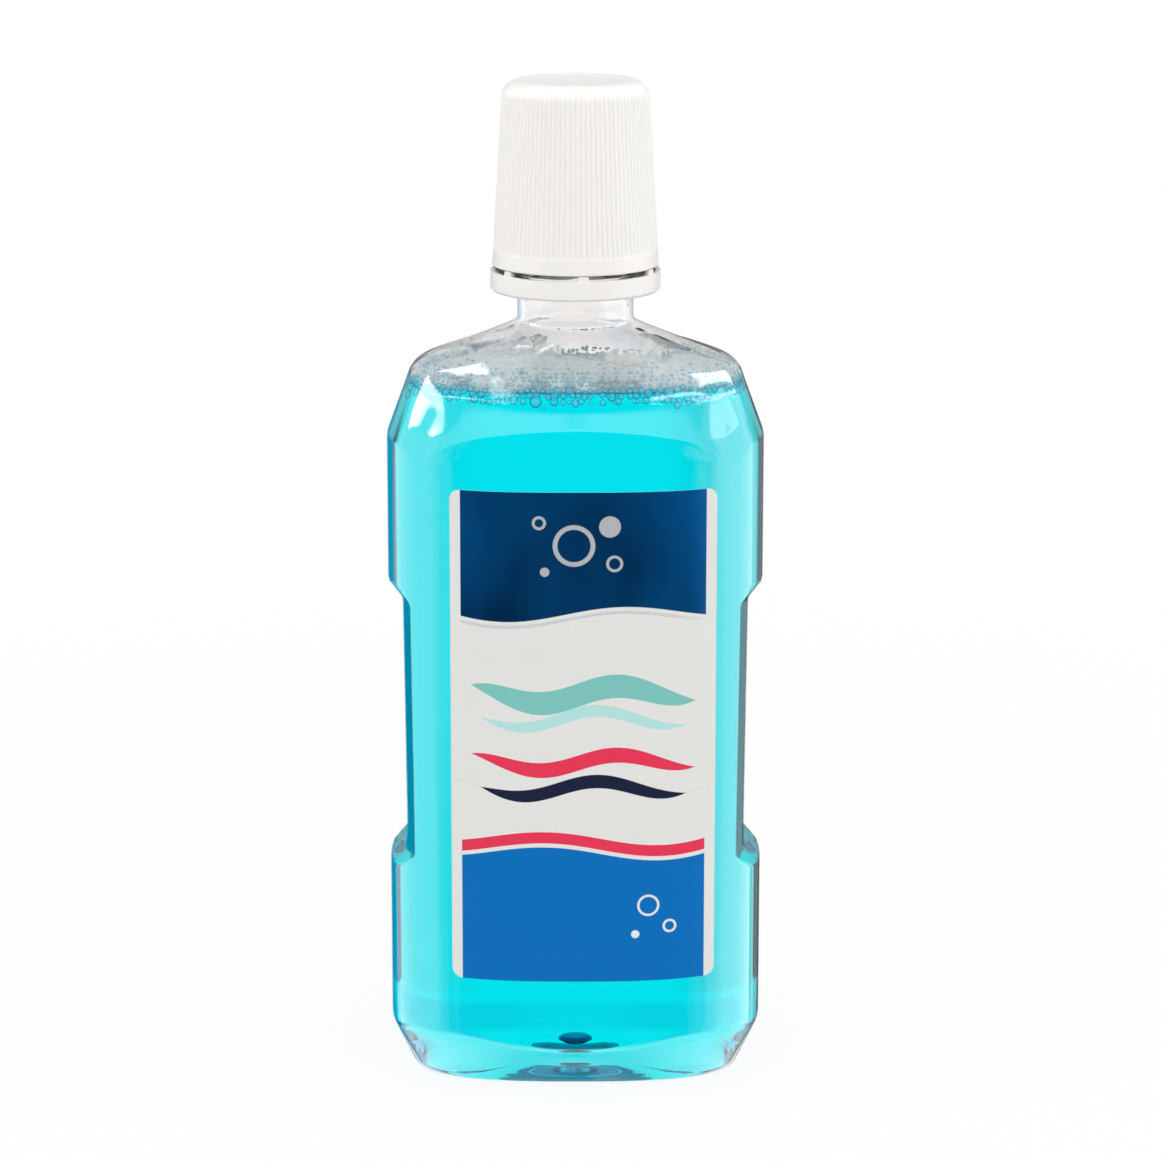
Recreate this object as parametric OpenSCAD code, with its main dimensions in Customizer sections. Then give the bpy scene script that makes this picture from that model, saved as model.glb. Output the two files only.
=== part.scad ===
// Mouthwash bottle: a clear waisted bottle, its fill, two labels and a screw-on dosing cap.
// Millimetres, +Z up, front towards -Y, origin at the middle of the foot on the floor.

/* [Body] */
// Width of the body across its sides
body_w = 81.4; // [78:0.1:88]
// Depth of the body from front to back
body_d = 55; // [52:0.5:60]
// Squareness of the body's section, where 2 gives an ellipse
body_square = 2.7; // [2.5:0.1:3]
// Wall of the body
body_wall = 0.6; // [0.4:0.05:1]
// Height of the base taper, from the floor to its crease
base_h = 11.2; // [9:0.1:14]
// Height of the straight sides below the waist
lower_h = 34.7; // [28:0.1:44]
// Height of the straight sides above the waist
upper_h = 29.5; // [24:0.1:38]

/* [Foot] */
// Width of the foot on the floor
foot_w = 67.6; // [62:0.1:70]
// Depth of the foot on the floor
foot_d = 37; // [33:0.1:41]
// Radius of the foot's edge
foot_edge = 2.6; // [1.5:0.1:3.5]
// Width of the ring that the bottle stands on
foot_ring = 4; // [2:0.1:6]
// Rise of the hollow under the base
push_up = 3.4; // [2:0.1:5]
// Thickness of the base
base_wall = 1.2; // [0.8:0.1:2]

/* [Waist] */
// Width between the two flat grip panels at the top of the waist
waist_top_w = 74.6; // [72:0.1:77]
// Width between the two flat grip panels at the foot of the waist
waist_foot_w = 73.4; // [71:0.1:76]
// Height of the flat grip panels
waist_h = 54.8; // [44:0.1:66]
// Height of the step from the lower sides to the waist
foot_step_h = 6.4; // [5:0.1:9]
// Height of the step from the waist to the upper sides
top_step_h = 5.5; // [4:0.1:8]

/* [Shoulder] */
// Height of the steep part of the shoulder
chamfer_h = 13.5; // [11:0.1:17]
// Width of the body where the steep part of the shoulder ends
chamfer_w = 71.6; // [68:0.1:75]
// Height of the shallow part of the shoulder, up to the neck
shoulder_h = 11.1; // [9:0.1:14]
// Height that the front stays upright above the start of the side shoulder
front_rise = 4.4; // [2:0.1:6]

/* [Neck] */
// Height of the neck from its root to the mouth
neck_h = 25.8; // [24:0.1:28]
// Diameter of the neck below its threads
neck_d = 24.94; // [24:0.02:26]
// Diameter of the bore through the neck
bore_d = 21.74; // [20.5:0.02:22.2]
// Height of the locking bead above the neck's root
bead_rise = 8.3; // [7:0.1:9]
// Height of the locking bead
bead_h = 1.5; // [1:0.1:1.6]
// Diameter of the locking bead
bead_d = 27.2; // [26.6:0.02:27.6]

/* [Thread] */
// Diameter over the neck's thread
thread_d = 27.4; // [26.8:0.02:28]
// Rise of the thread in one turn
pitch = 4.2333; // [3.8:0.01:4.6]
// Turns of thread on the neck
neck_turns = 1.5; // [1.25:0.05:1.6]
// Turns of thread in the dosing cup
cup_turns = 1.25; // [1:0.05:1.35]
// Distance from the mouth down to the neck's last thread
thread_drop = 3.4; // [3:0.1:3.8]
// Radial room between each thread and the wall that it faces
thread_room = 0.28; // [0.2:0.02:0.4]
// Room under the neck's thread when the cap is tight
thread_play = 0.3; // [0.2:0.02:0.5]

/* [Dosing Cap] */
// Diameter of the outer cap at its rim
cap_rim_d = 35.7; // [35:0.1:38]
// Diameter of the outer cap where its top edge starts to round
cap_top_d = 31.4; // [30:0.1:33]
// Height of the outer cap
cap_h = 39.5; // [37:0.1:44]
// Radius of the cap's top edge
cap_edge = 3.6; // [2:0.1:5]
// Wall of the outer cap
cap_wall = 1.1; // [0.8:0.05:1.4]
// Thickness of the outer cap's top
cap_roof = 1.4; // [1:0.1:2]
// Height of the plain rim under the ribs
rim_h = 3.4; // [2:0.1:6]
// Number of grip ribs
rib_count = 96; // [48:1:100]
// Height of a grip rib above its groove
rib_rise = 0.26; // [0.15:0.01:0.4]
// Wall of the dosing cup
cup_wall = 0.9; // [0.7:0.05:1.1]
// Inner diameter of the dosing cup's chamber
chamber_d = 24; // [23:0.1:25]
// Draft of the dosing cup's chamber on its radius
chamber_draft = 0.5; // [0.2:0.1:0.8]
// Thickness of the seal ring
seal_t = 1; // [0.6:0.1:1.4]

/* [Tamper Band] */
// Diameter of the tamper band
band_d = 36.5; // [36:0.1:39]
// Height of the tamper band
band_h = 4.3; // [4:0.1:5]
// Wall of the tamper band
band_wall = 1; // [0.8:0.05:1.3]
// Height of the slot between the tamper band and the cap
slot_h = 1.1; // [0.8:0.1:1.5]
// Number of bridges across the slot
bridge_count = 6; // [4:1:10]
// Width of a bridge at the cap
bridge_w = 2; // [1.2:0.1:3]
// Turn of the first bridge from the front
bridge_turn = 5.5; // [0:0.5:30]

/* [Labels] */
// Width of the front label
label_w = 56.7; // [50:0.1:60]
// Height of the front label
label_h = 108; // [90:0.5:110]
// Width of the back label
back_label_w = 49; // [44:0.1:60]
// Height of the back label
back_label_h = 124; // [100:0.5:126]
// Thickness of a label
label_t = 0.12; // [0.08:0.01:0.2]
// Distance of the front label's middle from the bottle's middle
label_shift = 1.7; // [-3:0.1:3]
// Height of the front label's foot above the crease of the base
label_rise = 15; // [12:0.5:18]
// Height of the back label's foot above the crease of the base
back_label_rise = 1.5; // [1:0.1:4]
// Radius of a label's corners
label_corner = 2.2; // [1:0.1:4]

/* [Fill] */
// Depth of the fill's surface below the neck's root
headspace = 13.2; // [12:0.1:20]
// Height of the foam on the fill
foam_h = 4.6; // [2:0.1:5.5]

/* [Hidden] */
$fn = 96;

// Room between two pieces that lie against each other
skin_gap = 0.05;
// Reach of a cut or a prism past what it has to clear
overrun = 3;

// Heights up the body
crease_z = base_h;
foot_step_z = crease_z + lower_h;
waist_z = foot_step_z + foot_step_h;
top_step_z = waist_z + waist_h;
upper_z = top_step_z + top_step_h;
chamfer_z = upper_z + upper_h;
shoulder_z = chamfer_z + chamfer_h;
neck_z = shoulder_z + shoulder_h;
mouth_z = neck_z + neck_h;
bead_z = neck_z + bead_rise;
fill_z = neck_z - headspace;

// Radii of the neck
neck_r = neck_d / 2;
bore_r = bore_d / 2;
bead_r = bead_d / 2;
thread_r = thread_d / 2;
// Flare of the neck's root
root_flare = 0.3;
// Height and inset of the body's collar, which runs up inside the neck's wall
collar_h = 1.2;
collar_inset = 0.4;
collar_r = neck_r - collar_inset;
// Depth to which the neck's wall runs down into the shoulder
neck_sink = 0.9;
// Rounding of the mouth's edges
mouth_edge = 0.4;
// Height of the sloping top of the locking bead
bead_slope = 0.8;

// Places around one section of the body, every 5 degrees
section_count = 72;
section_step = 360 / section_count;
// Squareness of the section at the foot and where the shoulder meets the neck
foot_square = 2.9;
neck_square = 2;

// Steep part of the shoulder at the front, as shares of the depth lost between body and neck
front_loss = body_d / 2 - collar_r;
front_height = shoulder_h + chamfer_h - front_rise;
// Share of the height above the upright front, then share of the depth lost
front_shares = [[0, 0], [0.09, 0.03], [0.2, 0.12], [0.35, 0.245], [0.64, 0.585], [0.83, 0.79], [1, 1]];
// Shallow part of the shoulder at the sides: share of its height, then share of the width lost
side_loss = chamfer_w / 2 - collar_r;
side_shares = [[0, 0], [0.13, 0.045], [0.25, 0.12], [0.41, 0.31], [0.58, 0.55], [0.73, 0.73], [0.9, 0.92], [1, 1]];
// Squareness lost by the section over the shoulder: share of the height, then share of the loss
square_shares = [[0, 0], [0.6, 0.12], [0.85, 0.6], [1, 1]];
// Heights in the two parts of the shoulder at which a section is drawn
chamfer_steps = [0.2, front_rise / chamfer_h, 0.45, 0.6, 0.75, 0.88];
shoulder_steps = [for (pair = side_shares) pair[0]];
// Heights in a step of the waist at which a section is drawn
step_steps = [0, 0.2, 0.4, 0.6, 0.8, 1];

// Half width of the body at height z, before the waist is cut in
function side_at(z) =
    z <= chamfer_z ? body_w / 2
    : z <= shoulder_z ? body_w / 2 - (body_w - chamfer_w) / 2 * (z - chamfer_z) / chamfer_h
    : chamfer_w / 2 - side_loss * lookup((z - shoulder_z) / shoulder_h, side_shares);

// Half depth of the body at height z
function front_at(z) =
    body_d / 2 - front_loss * lookup((z - chamfer_z - front_rise) / front_height, front_shares);

// Squareness of the body's section at height z
function square_at(z) =
    body_square - (body_square - neck_square)
    * lookup((z - chamfer_z) / (chamfer_h + shoulder_h), square_shares);

// Soft step from 0 to 1
function ease(t) = t * t * (3 - 2 * t);

// Half width between the grip panels at height z, or the full half width outside the waist
function panel_at(z) =
    let (
        panel = (waist_foot_w + (waist_top_w - waist_foot_w) * (z - waist_z) / waist_h) / 2,
        low = ease(max(0, min(1, (waist_z - z) / foot_step_h))),
        high = ease(max(0, min(1, (z - top_step_z) / top_step_h)))
    )
    panel + (body_w / 2 - panel) * max(low, high);

// One section: half width a, half depth b, squareness n, half width w of the grip panels
function section(a, b, n, w, z) = [
    for (k = [0 : section_count - 1])
        let (
            c = cos(k * section_step),
            s = sin(k * section_step),
            x = min(w, a * pow(abs(c), 2 / n))
        )
        [sign(c) * x, b * sign(s) * pow(abs(s), 2 / n), z]
];

// Section of the body at height z, drawn in by inset
function body_section(z, inset = 0, shift = 0) =
    section(side_at(z) - inset, front_at(z) - inset, square_at(z), panel_at(z) - inset, z + shift);

// Heights of the sections from the crease to the neck's root
wall_heights = concat(
    [crease_z],
    [for (t = step_steps) foot_step_z + foot_step_h * t],
    [for (t = step_steps) top_step_z + top_step_h * t],
    [chamfer_z],
    [for (t = chamfer_steps) chamfer_z + chamfer_h * t],
    [for (t = shoulder_steps) shoulder_z + shoulder_h * t]
);

// Downward shift of the inner skin, which keeps the shoulder's wall as thick as the sides
function inner_shift(z, inset) = z > chamfer_z ? -inset : 0;

// Section of the foot, grown by out from its edge on the floor
function foot_section(out, z) =
    section(foot_w / 2 + out, foot_d / 2 + out, foot_square, foot_w / 2 + out, z);

// Directions around the foot's rounded edge, outside and inside
foot_angles = [0, 30, 60];
inner_foot_angles = [0, 60];
// Shares of the hollow's radius and of its rise, from the middle outwards
hollow_shares = [[0.12, 0.8], [0.2, 1], [0.45, 0.86], [0.75, 0.45], [1, 0]];

// Sections under the base, from the middle out to the floor ring
hollow_sections = [
    for (pair = hollow_shares)
        section(
            (foot_w / 2 - foot_ring) * pair[0], (foot_d / 2 - foot_ring) * pair[0],
            foot_square, foot_w, push_up * pair[1]
        )
];
foot_sections = [
    for (angle = foot_angles)
        foot_section(foot_edge * sin(angle), foot_edge * (1 - cos(angle)))
];
// Sections inside the base, over the floor ring and the hollow
inner_foot_sections = [
    for (k = [len(inner_foot_angles) - 1 : -1 : 0])
        let (angle = inner_foot_angles[k])
        foot_section(foot_edge * sin(angle) - body_wall, foot_edge * (1 - cos(angle)) + base_wall)
];
inner_hollow_sections = [
    for (k = [len(hollow_shares) - 1 : -1 : 1])
        over_hollow(hollow_shares[k], 0)
];

// Section over the hollow of the base, raised by room above the base's wall
function over_hollow(pair, room) =
    section(
        (foot_w / 2 - foot_ring - base_wall) * pair[0], (foot_d / 2 - foot_ring - base_wall) * pair[0],
        foot_square, foot_w, push_up * pair[1] + base_wall + room
    );

// Closed skin through a row of sections with as many points each, from one middle to the other.
// Two skins that run opposite ways lie parallel where only one of them is crossed.
module loft(sections, first_middle, last_middle, crossed = false) {
    count = len(sections[0]);
    rows = len(sections);
    points = concat([first_middle], [for (one = sections) each one], [last_middle]);
    last = len(points) - 1;
    faces = concat(
        [for (k = [0 : count - 1]) [0, 1 + k, 1 + (k + 1) % count]],
        [
            for (i = [0 : rows - 2], k = [0 : count - 1])
                let (here = 1 + i * count, up = here + count, next = (k + 1) % count)
                each crossed
                    ? [[here + k, up + k, here + next], [here + next, up + k, up + next]]
                    : [[here + k, up + k, up + next], [here + k, up + next, here + next]]
        ],
        [for (k = [0 : count - 1]) let (here = 1 + (rows - 1) * count) [last, here + (k + 1) % count, here + k]]
    );
    polyhedron(points, faces, convexity = 6);
}

// Thread of trapezoid section that winds up from height z, proud of base_r and out to crest_r
module thread(base_r, crest_r, base_w, crest_w, turns, z) {
    steps = round(turns * thread_steps);
    points = [
        for (i = [0 : steps])
            let (
                angle = i * 360 * turns / steps,
                grow = max(thread_start_share, min(1, i / thread_taper, (steps - i) / thread_taper)),
                r = base_r + (crest_r - base_r) * grow,
                rise = z + pitch * turns * i / steps
            )
            each [
                [base_r * cos(angle), base_r * sin(angle), rise - base_w / 2],
                [r * cos(angle), r * sin(angle), rise - crest_w / 2],
                [r * cos(angle), r * sin(angle), rise + crest_w / 2],
                [base_r * cos(angle), base_r * sin(angle), rise + base_w / 2]
            ]
    ];
    outward = crest_r > base_r;
    end = steps * 4;
    sides = [
        for (i = [0 : steps - 1], k = [0 : 3])
            let (a = i * 4 + k, b = i * 4 + (k + 1) % 4)
            each [[a, b, b + 4], [a, b + 4, a + 4]]
    ];
    caps = [[0, 3, 2], [0, 2, 1], [end, end + 1, end + 2], [end, end + 2, end + 3]];
    all_faces = concat(sides, caps);
    polyhedron(points, outward ? all_faces : [for (f = all_faces) [f[2], f[1], f[0]]], convexity = 6);
}

// Steps in one turn of a thread, and those over which its ends fade
thread_steps = 30;
thread_taper = 3;
// Height of a thread's very end, as a share of its full height
thread_start_share = 0.35;
// Depth to which a thread is rooted in its wall
thread_root = 0.4;
// Axial widths of the two threads at their root and at their crest
neck_thread_base_w = 2.6;
neck_thread_crest_w = 1;
cup_thread_base_w = 2.2;
cup_thread_crest_w = 0.8;
neck_thread_z = mouth_z - thread_drop - pitch * neck_turns;

// Radii of the dosing cup's threaded sleeve
sleeve_r = thread_r + thread_room;
cup_crest_r = neck_r + thread_room;
// Half width of the cup's thread where it faces the crest of the neck's thread
facing_w = cup_thread_crest_w / 2
    + (cup_thread_base_w - cup_thread_crest_w) / 2
    * (thread_r - cup_crest_r) / (sleeve_r + thread_root - cup_crest_r);
cup_thread_z = neck_thread_z - neck_thread_crest_w / 2 - facing_w - thread_play;

// Room between the locking bead and the slot under the cap
bead_clear = 0.9;
// Height of the dosing cup's lip above the outer cap's rim
cup_recess = 0.7;
// Heights of the closure
rim_z = bead_z + bead_h + slot_h + bead_clear;
band_top_z = rim_z - slot_h;
band_z = band_top_z - band_h;
cap_top_z = rim_z + cap_h;
rib_top_z = cap_top_z - cap_edge;
seal_top_z = mouth_z + seal_t;
cup_top_z = cap_top_z - cap_roof;
cup_foot_z = rim_z + cup_recess;
// Height of the dosing cup's flange
flange_h = 1.2;
// Radial room between the dosing cup and the outer cap, at the flange and at the top
flange_room = 0.1;
// Radial room between the seal ring and the sleeve
seal_room = 0.15;
// Inner radius of the seal ring
seal_bore_r = bore_r + mouth_edge / 2;
// Outer radius of the dosing cup's top
cup_top_r = chamber_d / 2 - chamber_draft + cup_wall;

// Radius of the outer cap's cone at height z
function cap_at(z) = cap_rim_d / 2 - (cap_rim_d - cap_top_d) / 2 * (z - rim_z) / (rib_top_z - rim_z);

// Profile of a grip rib: share of the pitch and share of the rise
rib_shares = [[0, 0], [0.2, 1], [0.8, 1]];
// Depth to which the ribs are rooted in the cap's wall
rib_root = 0.5;
// Step of the ribs in from the plain rim
rib_inset = 0.06;

// One turn of the ribs at height z
function rib_ring(z) = [
    for (k = [0 : rib_count - 1], pair = rib_shares)
        let (
            angle = (k + pair[0]) * 360 / rib_count,
            r = cap_at(z) - rib_inset - rib_rise + rib_rise * pair[1]
        )
        [r * cos(angle), r * sin(angle), z]
];
function rib_root_ring(z) = [
    for (k = [0 : rib_count - 1], pair = rib_shares)
        let (angle = (k + pair[0]) * 360 / rib_count, r = cap_at(z) - rib_inset - rib_rise - rib_root)
        [r * cos(angle), r * sin(angle), z]
];

// Ring of grip ribs, rooted in the outer cap's wall
module ribs() {
    low = rim_z + rim_h - rib_root;
    high = rib_top_z + rib_root;
    rings = [rib_root_ring(low), rib_ring(low), rib_ring(high), rib_root_ring(high)];
    count = len(rings[0]);
    faces = [
        for (i = [0 : 3], k = [0 : count - 1])
            let (a = i * count + k, b = i * count + (k + 1) % count, up = (i + 1) % 4 * count - i * count)
            each [[a, a + up, b + up], [a, b + up, b]]
    ];
    polyhedron([for (ring = rings) each ring], faces, convexity = 8);
}

// Outline of a label's face, w wide and h high, seen from the front, with its foot at [x, z]
module label_face(w, h, x, z) {
    translate([x, 0, z + h / 2])
        rotate([90, 0, 0])
            linear_extrude(height = body_d + overrun, center = true)
                union() {
                    square([w - 2 * label_corner, h], center = true);
                    square([w, h - 2 * label_corner], center = true);
                    for (sx = [-1, 1], sz = [-1, 1])
                        translate([sx * (w / 2 - label_corner), sz * (h / 2 - label_corner)])
                            circle(r = label_corner);
                }
}

// Film h high that follows the body's front from height z, over more than a label's width
module label_film(h, z) {
    rim = section(body_w / 2, body_d / 2, body_square, body_w, 0);
    front = [for (p = rim) if (p[1] < 0 && abs(p[0]) < body_w * label_reach_share) [p[0], p[1]]];
    outer = [for (p = front) [p[0], p[1] - skin_gap - label_t]];
    inner = [for (k = [len(front) - 1 : -1 : 0]) [front[k][0], front[k][1] - skin_gap]];
    translate([0, 0, z - overrun])
        linear_extrude(height = h + 2 * overrun)
            polygon(concat(outer, inner));
}
// Half width of the film before it is cut to its outline, as a share of the body's width
label_reach_share = 0.44;

module bottle() {
    color([0.86, 0.96, 0.98, 0.35])
        union() {
            loft(
                concat(
                    hollow_sections,
                    foot_sections,
                    [for (z = wall_heights) body_section(z)],
                    [collar_section(collar_r)],
                    [collar_section(bore_r + collar_inset)],
                    [
                        for (k = [len(wall_heights) - 1 : -1 : 0])
                            let (z = wall_heights[k])
                            body_section(z, body_wall, inner_shift(z, body_wall))
                    ],
                    inner_foot_sections,
                    inner_hollow_sections
                ),
                [0, 0, push_up * hollow_shares[0][1]],
                [0, 0, push_up + base_wall]
            );
            neck();
            thread(
                neck_r - thread_root, thread_r,
                neck_thread_base_w, neck_thread_crest_w, neck_turns, neck_thread_z
            );
        }
}

// Round section at the top of the body's collar, inside the neck's wall
function collar_section(r) = section(r, r, neck_square, neck_r, neck_z + collar_h);

// Wall of the neck with its mouth and locking bead
module neck() {
    foot = neck_z - neck_sink;
    rotate_extrude()
        polygon([
            [bore_r, foot],
            [neck_r + root_flare, foot],
            [neck_r + root_flare, neck_z],
            [neck_r, neck_z + root_flare],
            [neck_r, bead_z - root_flare],
            [bead_r, bead_z],
            [bead_r, bead_z + bead_h - bead_slope],
            [neck_r, bead_z + bead_h],
            [neck_r, mouth_z - mouth_edge],
            [neck_r - mouth_edge, mouth_z],
            [bore_r + mouth_edge, mouth_z],
            [bore_r, mouth_z - mouth_edge]
        ]);
}

// Body of liquid inside the bottle, between its base and the surface
module mouthwash() {
    inset = body_wall + skin_gap;
    heights = [for (z = wall_heights) if (z + inner_shift(z, inset) < fill_z - skin_gap) z];
    color([0, 0.86, 0.93, 0.8])
        loft(
            concat(
                [for (k = [1 : len(hollow_shares) - 1]) over_hollow(hollow_shares[k], skin_gap)],
                [
                    for (angle = inner_foot_angles)
                        foot_section(
                            foot_edge * sin(angle) - inset,
                            foot_edge * (1 - cos(angle)) + base_wall + skin_gap
                        )
                ],
                [for (z = heights) body_section(z, inset, inner_shift(z, inset))],
                [fill_section(fill_z)]
            ),
            [0, 0, push_up + base_wall + skin_gap],
            [0, 0, fill_z],
            crossed = true
        );
}

// Section of the room inside the shoulder at height z
function fill_section(z) =
    let (inset = body_wall + skin_gap) body_section(z + inset, inset, -inset);

// Layer of foam on the fill's surface
module foam() {
    low = fill_z + skin_gap;
    high = fill_z + foam_h;
    inset = body_wall + skin_gap;
    heights = [for (z = wall_heights) if (z - inset > low && z - inset < high) z - inset];
    color([0.75, 0.82, 0.84, 0.7])
        loft(
            concat([fill_section(low)], [for (z = heights) fill_section(z)], [fill_section(high)]),
            [0, 0, low],
            [0, 0, high],
            crossed = true
        );
}

module front_label() {
    color([0.88, 0.89, 0.88])
        intersection() {
            label_film(label_h, crease_z + label_rise);
            label_face(label_w, label_h, label_shift, crease_z + label_rise);
        }
}

module back_label() {
    color([0.88, 0.89, 0.88])
        intersection() {
            mirror([0, 1, 0])
                label_film(back_label_h, crease_z + back_label_rise);
            label_face(back_label_w, back_label_h, 0, crease_z + back_label_rise);
        }
}

// Ring that seals the dosing cup's ledge on the mouth
module seal_ring() {
    color([0.93, 0.94, 0.95])
        rotate_extrude()
            translate([seal_bore_r, mouth_z])
                square([sleeve_r - seal_room - seal_bore_r, seal_t]);
}

// Threaded sleeve with a narrower measuring chamber above it
module dosing_cup() {
    chamber_r = chamber_d / 2;
    outer_r = sleeve_r + cup_wall;
    flange_r = cap_at(cup_foot_z + flange_h) - cap_wall - flange_room;
    color([0.95, 0.95, 0.94])
        union() {
            rotate_extrude()
                polygon([
                    [sleeve_r, cup_foot_z],
                    [flange_r, cup_foot_z],
                    [flange_r, cup_foot_z + flange_h],
                    [outer_r, cup_foot_z + flange_h],
                    [outer_r, seal_top_z + cup_wall],
                    [chamber_r + cup_wall, seal_top_z + cup_wall],
                    [cup_top_r, cup_top_z],
                    [0, cup_top_z],
                    [0, cup_top_z - cup_wall],
                    [cup_top_r - cup_wall, cup_top_z - cup_wall],
                    [chamber_r, seal_top_z],
                    [sleeve_r, seal_top_z]
                ]);
            thread(
                sleeve_r + thread_root, cup_crest_r,
                cup_thread_base_w, cup_thread_crest_w, cup_turns, cup_thread_z
            );
        }
}

// Ribbed outer shell over the dosing cup
module outer_cap() {
    groove = rib_inset + rib_rise + rib_root / 2;
    rib_low = rim_z + rim_h;
    top_r = cap_at(rib_top_z);
    color([0.94, 0.93, 0.92])
        union() {
            rotate_extrude()
                polygon(concat(
                    [
                        [cap_at(rim_z) - cap_wall, rim_z],
                        [cap_at(rim_z), rim_z],
                        [cap_at(rib_low), rib_low],
                        [cap_at(rib_low) - groove, rib_low],
                        [top_r - groove, rib_top_z]
                    ],
                    [
                        for (angle = [0 : 15 : 90])
                            [top_r - cap_edge * (1 - cos(angle)), rib_top_z + cap_edge * sin(angle)]
                    ],
                    [
                        [0, cap_top_z],
                        [0, cup_top_z],
                        [cup_top_r + flange_room, cup_top_z],
                        [top_r - cap_wall, rib_top_z],
                        [cap_at(rib_low) - cap_wall, rib_low]
                    ]
                ));
            ribs();
        }
}

// Loose ring that stays on the neck, with the bridges that held it to the cap
module tamper_band() {
    band_r = band_d / 2;
    web_r = neck_r + web_room;
    color([0.94, 0.93, 0.92])
        union() {
            rotate_extrude()
                polygon([
                    [web_r, band_z + band_edge],
                    [web_r + band_edge, band_z],
                    [band_r - band_edge, band_z],
                    [band_r, band_z + band_edge],
                    [band_r, band_top_z],
                    [band_r - band_wall, band_top_z],
                    [band_r - band_wall, bead_z - bead_drop],
                    [web_r, bead_z - bead_drop]
                ]);
            for (k = [0 : bridge_count - 1])
                rotate([0, 0, bridge_turn - 90 + k * 360 / bridge_count])
                    bridge();
        }
}
// Radial room between the neck and the band's web
web_room = 0.35;
// Rounding of the band's lower edges
band_edge = 0.5;
// Distance from the band's web up to the locking bead
bead_drop = 0.6;

// One bridge, wider at the band than at the cap
module bridge() {
    outer = cap_rim_d / 2 - bridge_inset;
    depth = band_wall - bridge_inset;
    rise = slot_h - break_gap;
    translate([outer - depth, 0, band_top_z])
        rotate([90, 0, 90])
            linear_extrude(height = depth)
                polygon([
                    [-bridge_w * bridge_foot_share, -bridge_root],
                    [bridge_w * bridge_foot_share, -bridge_root],
                    [bridge_w * bridge_foot_share, 0],
                    [bridge_w / 2, rise],
                    [-bridge_w / 2, rise],
                    [-bridge_w * bridge_foot_share, 0]
                ]);
}
// Half width of a bridge at the band, as a share of its width at the cap
bridge_foot_share = 0.65;
// Depth of a bridge's root in the band
bridge_root = 0.5;
// Step of a bridge in from the cap's rim
bridge_inset = 0.15;
// Open break line between a bridge and the cap
break_gap = 0.1;

bottle();
mouthwash();
foam();
front_label();
back_label();
seal_ring();
dosing_cup();
outer_cap();
tamper_band();
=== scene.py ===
"""Looks of the mouthwash bottle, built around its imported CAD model. Shapes are in millimetres."""

import math

import bmesh
import bpy
import numpy as np
from mathutils import Matrix, Vector


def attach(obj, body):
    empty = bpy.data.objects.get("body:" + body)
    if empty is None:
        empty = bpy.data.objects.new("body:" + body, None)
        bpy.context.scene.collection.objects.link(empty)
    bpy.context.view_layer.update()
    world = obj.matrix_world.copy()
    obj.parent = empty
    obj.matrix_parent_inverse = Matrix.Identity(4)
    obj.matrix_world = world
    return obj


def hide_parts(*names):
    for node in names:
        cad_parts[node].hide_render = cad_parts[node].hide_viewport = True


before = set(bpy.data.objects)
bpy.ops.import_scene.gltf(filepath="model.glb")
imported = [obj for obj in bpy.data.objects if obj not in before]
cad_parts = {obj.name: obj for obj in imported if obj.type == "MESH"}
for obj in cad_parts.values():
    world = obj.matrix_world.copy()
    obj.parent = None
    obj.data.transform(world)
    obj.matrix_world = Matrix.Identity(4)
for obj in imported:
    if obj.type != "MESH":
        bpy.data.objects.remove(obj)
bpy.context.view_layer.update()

MM = 0.001
TURN = 2 * math.pi
PET_IOR, LIQUID_IOR = 1.57, 1.34
rng = np.random.default_rng(7)

# Sizes of the part, as in its source
BODY_W, BODY_D, BODY_SQUARE, BODY_WALL = 81.4, 55.0, 2.7, 0.6
FOOT_W, FOOT_D, FOOT_SQUARE, FOOT_EDGE, BASE_WALL = 67.6, 37.0, 2.9, 2.6, 1.2
WAIST_TOP_W, WAIST_FOOT_W, WAIST_H = 74.6, 73.4, 54.8
FOOT_STEP_H, TOP_STEP_H = 6.4, 5.5
CHAMFER_H, CHAMFER_W, SHOULDER_H, FRONT_RISE = 13.5, 71.6, 11.1, 4.4
CREASE_Z = 11.2
WAIST_Z = CREASE_Z + 34.7 + FOOT_STEP_H
TOP_STEP_Z = WAIST_Z + WAIST_H
CHAMFER_Z = TOP_STEP_Z + TOP_STEP_H + 29.5
SHOULDER_Z = CHAMFER_Z + CHAMFER_H
NECK_Z = SHOULDER_Z + SHOULDER_H
MOUTH_Z = NECK_Z + 25.8
NECK_R, BORE_R, BEAD_R, THREAD_R = 12.47, 10.87, 13.6, 13.7
BEAD_Z, BEAD_H, LIP_H = NECK_Z + 8.3, 1.5, 0.4
PITCH, NECK_TURNS, THREAD_BASE, THREAD_CREST = 4.2333, 1.5, 2.6, 1.0
THREAD_Z = MOUTH_Z - 3.4 - PITCH * NECK_TURNS
FILL_Z = NECK_Z - 13.2
RIM_Z = BEAD_Z + BEAD_H + 2.0
CAP_TOP_Z = RIM_Z + 39.5
CAP_RIM_R, CAP_TOP_R, CAP_EDGE, CAP_WALL, CAP_ROOF, DIMPLE = 17.85, 15.7, 3.6, 1.1, 1.4, 0.34
RIM_H, RIB_COUNT, RIB_RISE = 3.4, 96, 0.26
LABEL_T, LABEL_CORNER, SKIN_GAP = 0.12, 2.2, 0.05
LABEL_W, LABEL_H, LABEL_SHIFT, LABEL_Z = 56.7, 108.0, 1.7, CREASE_Z + 15
BACK_W, BACK_H, BACK_Z = 49.0, 124.0, CREASE_Z + 1.5

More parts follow.
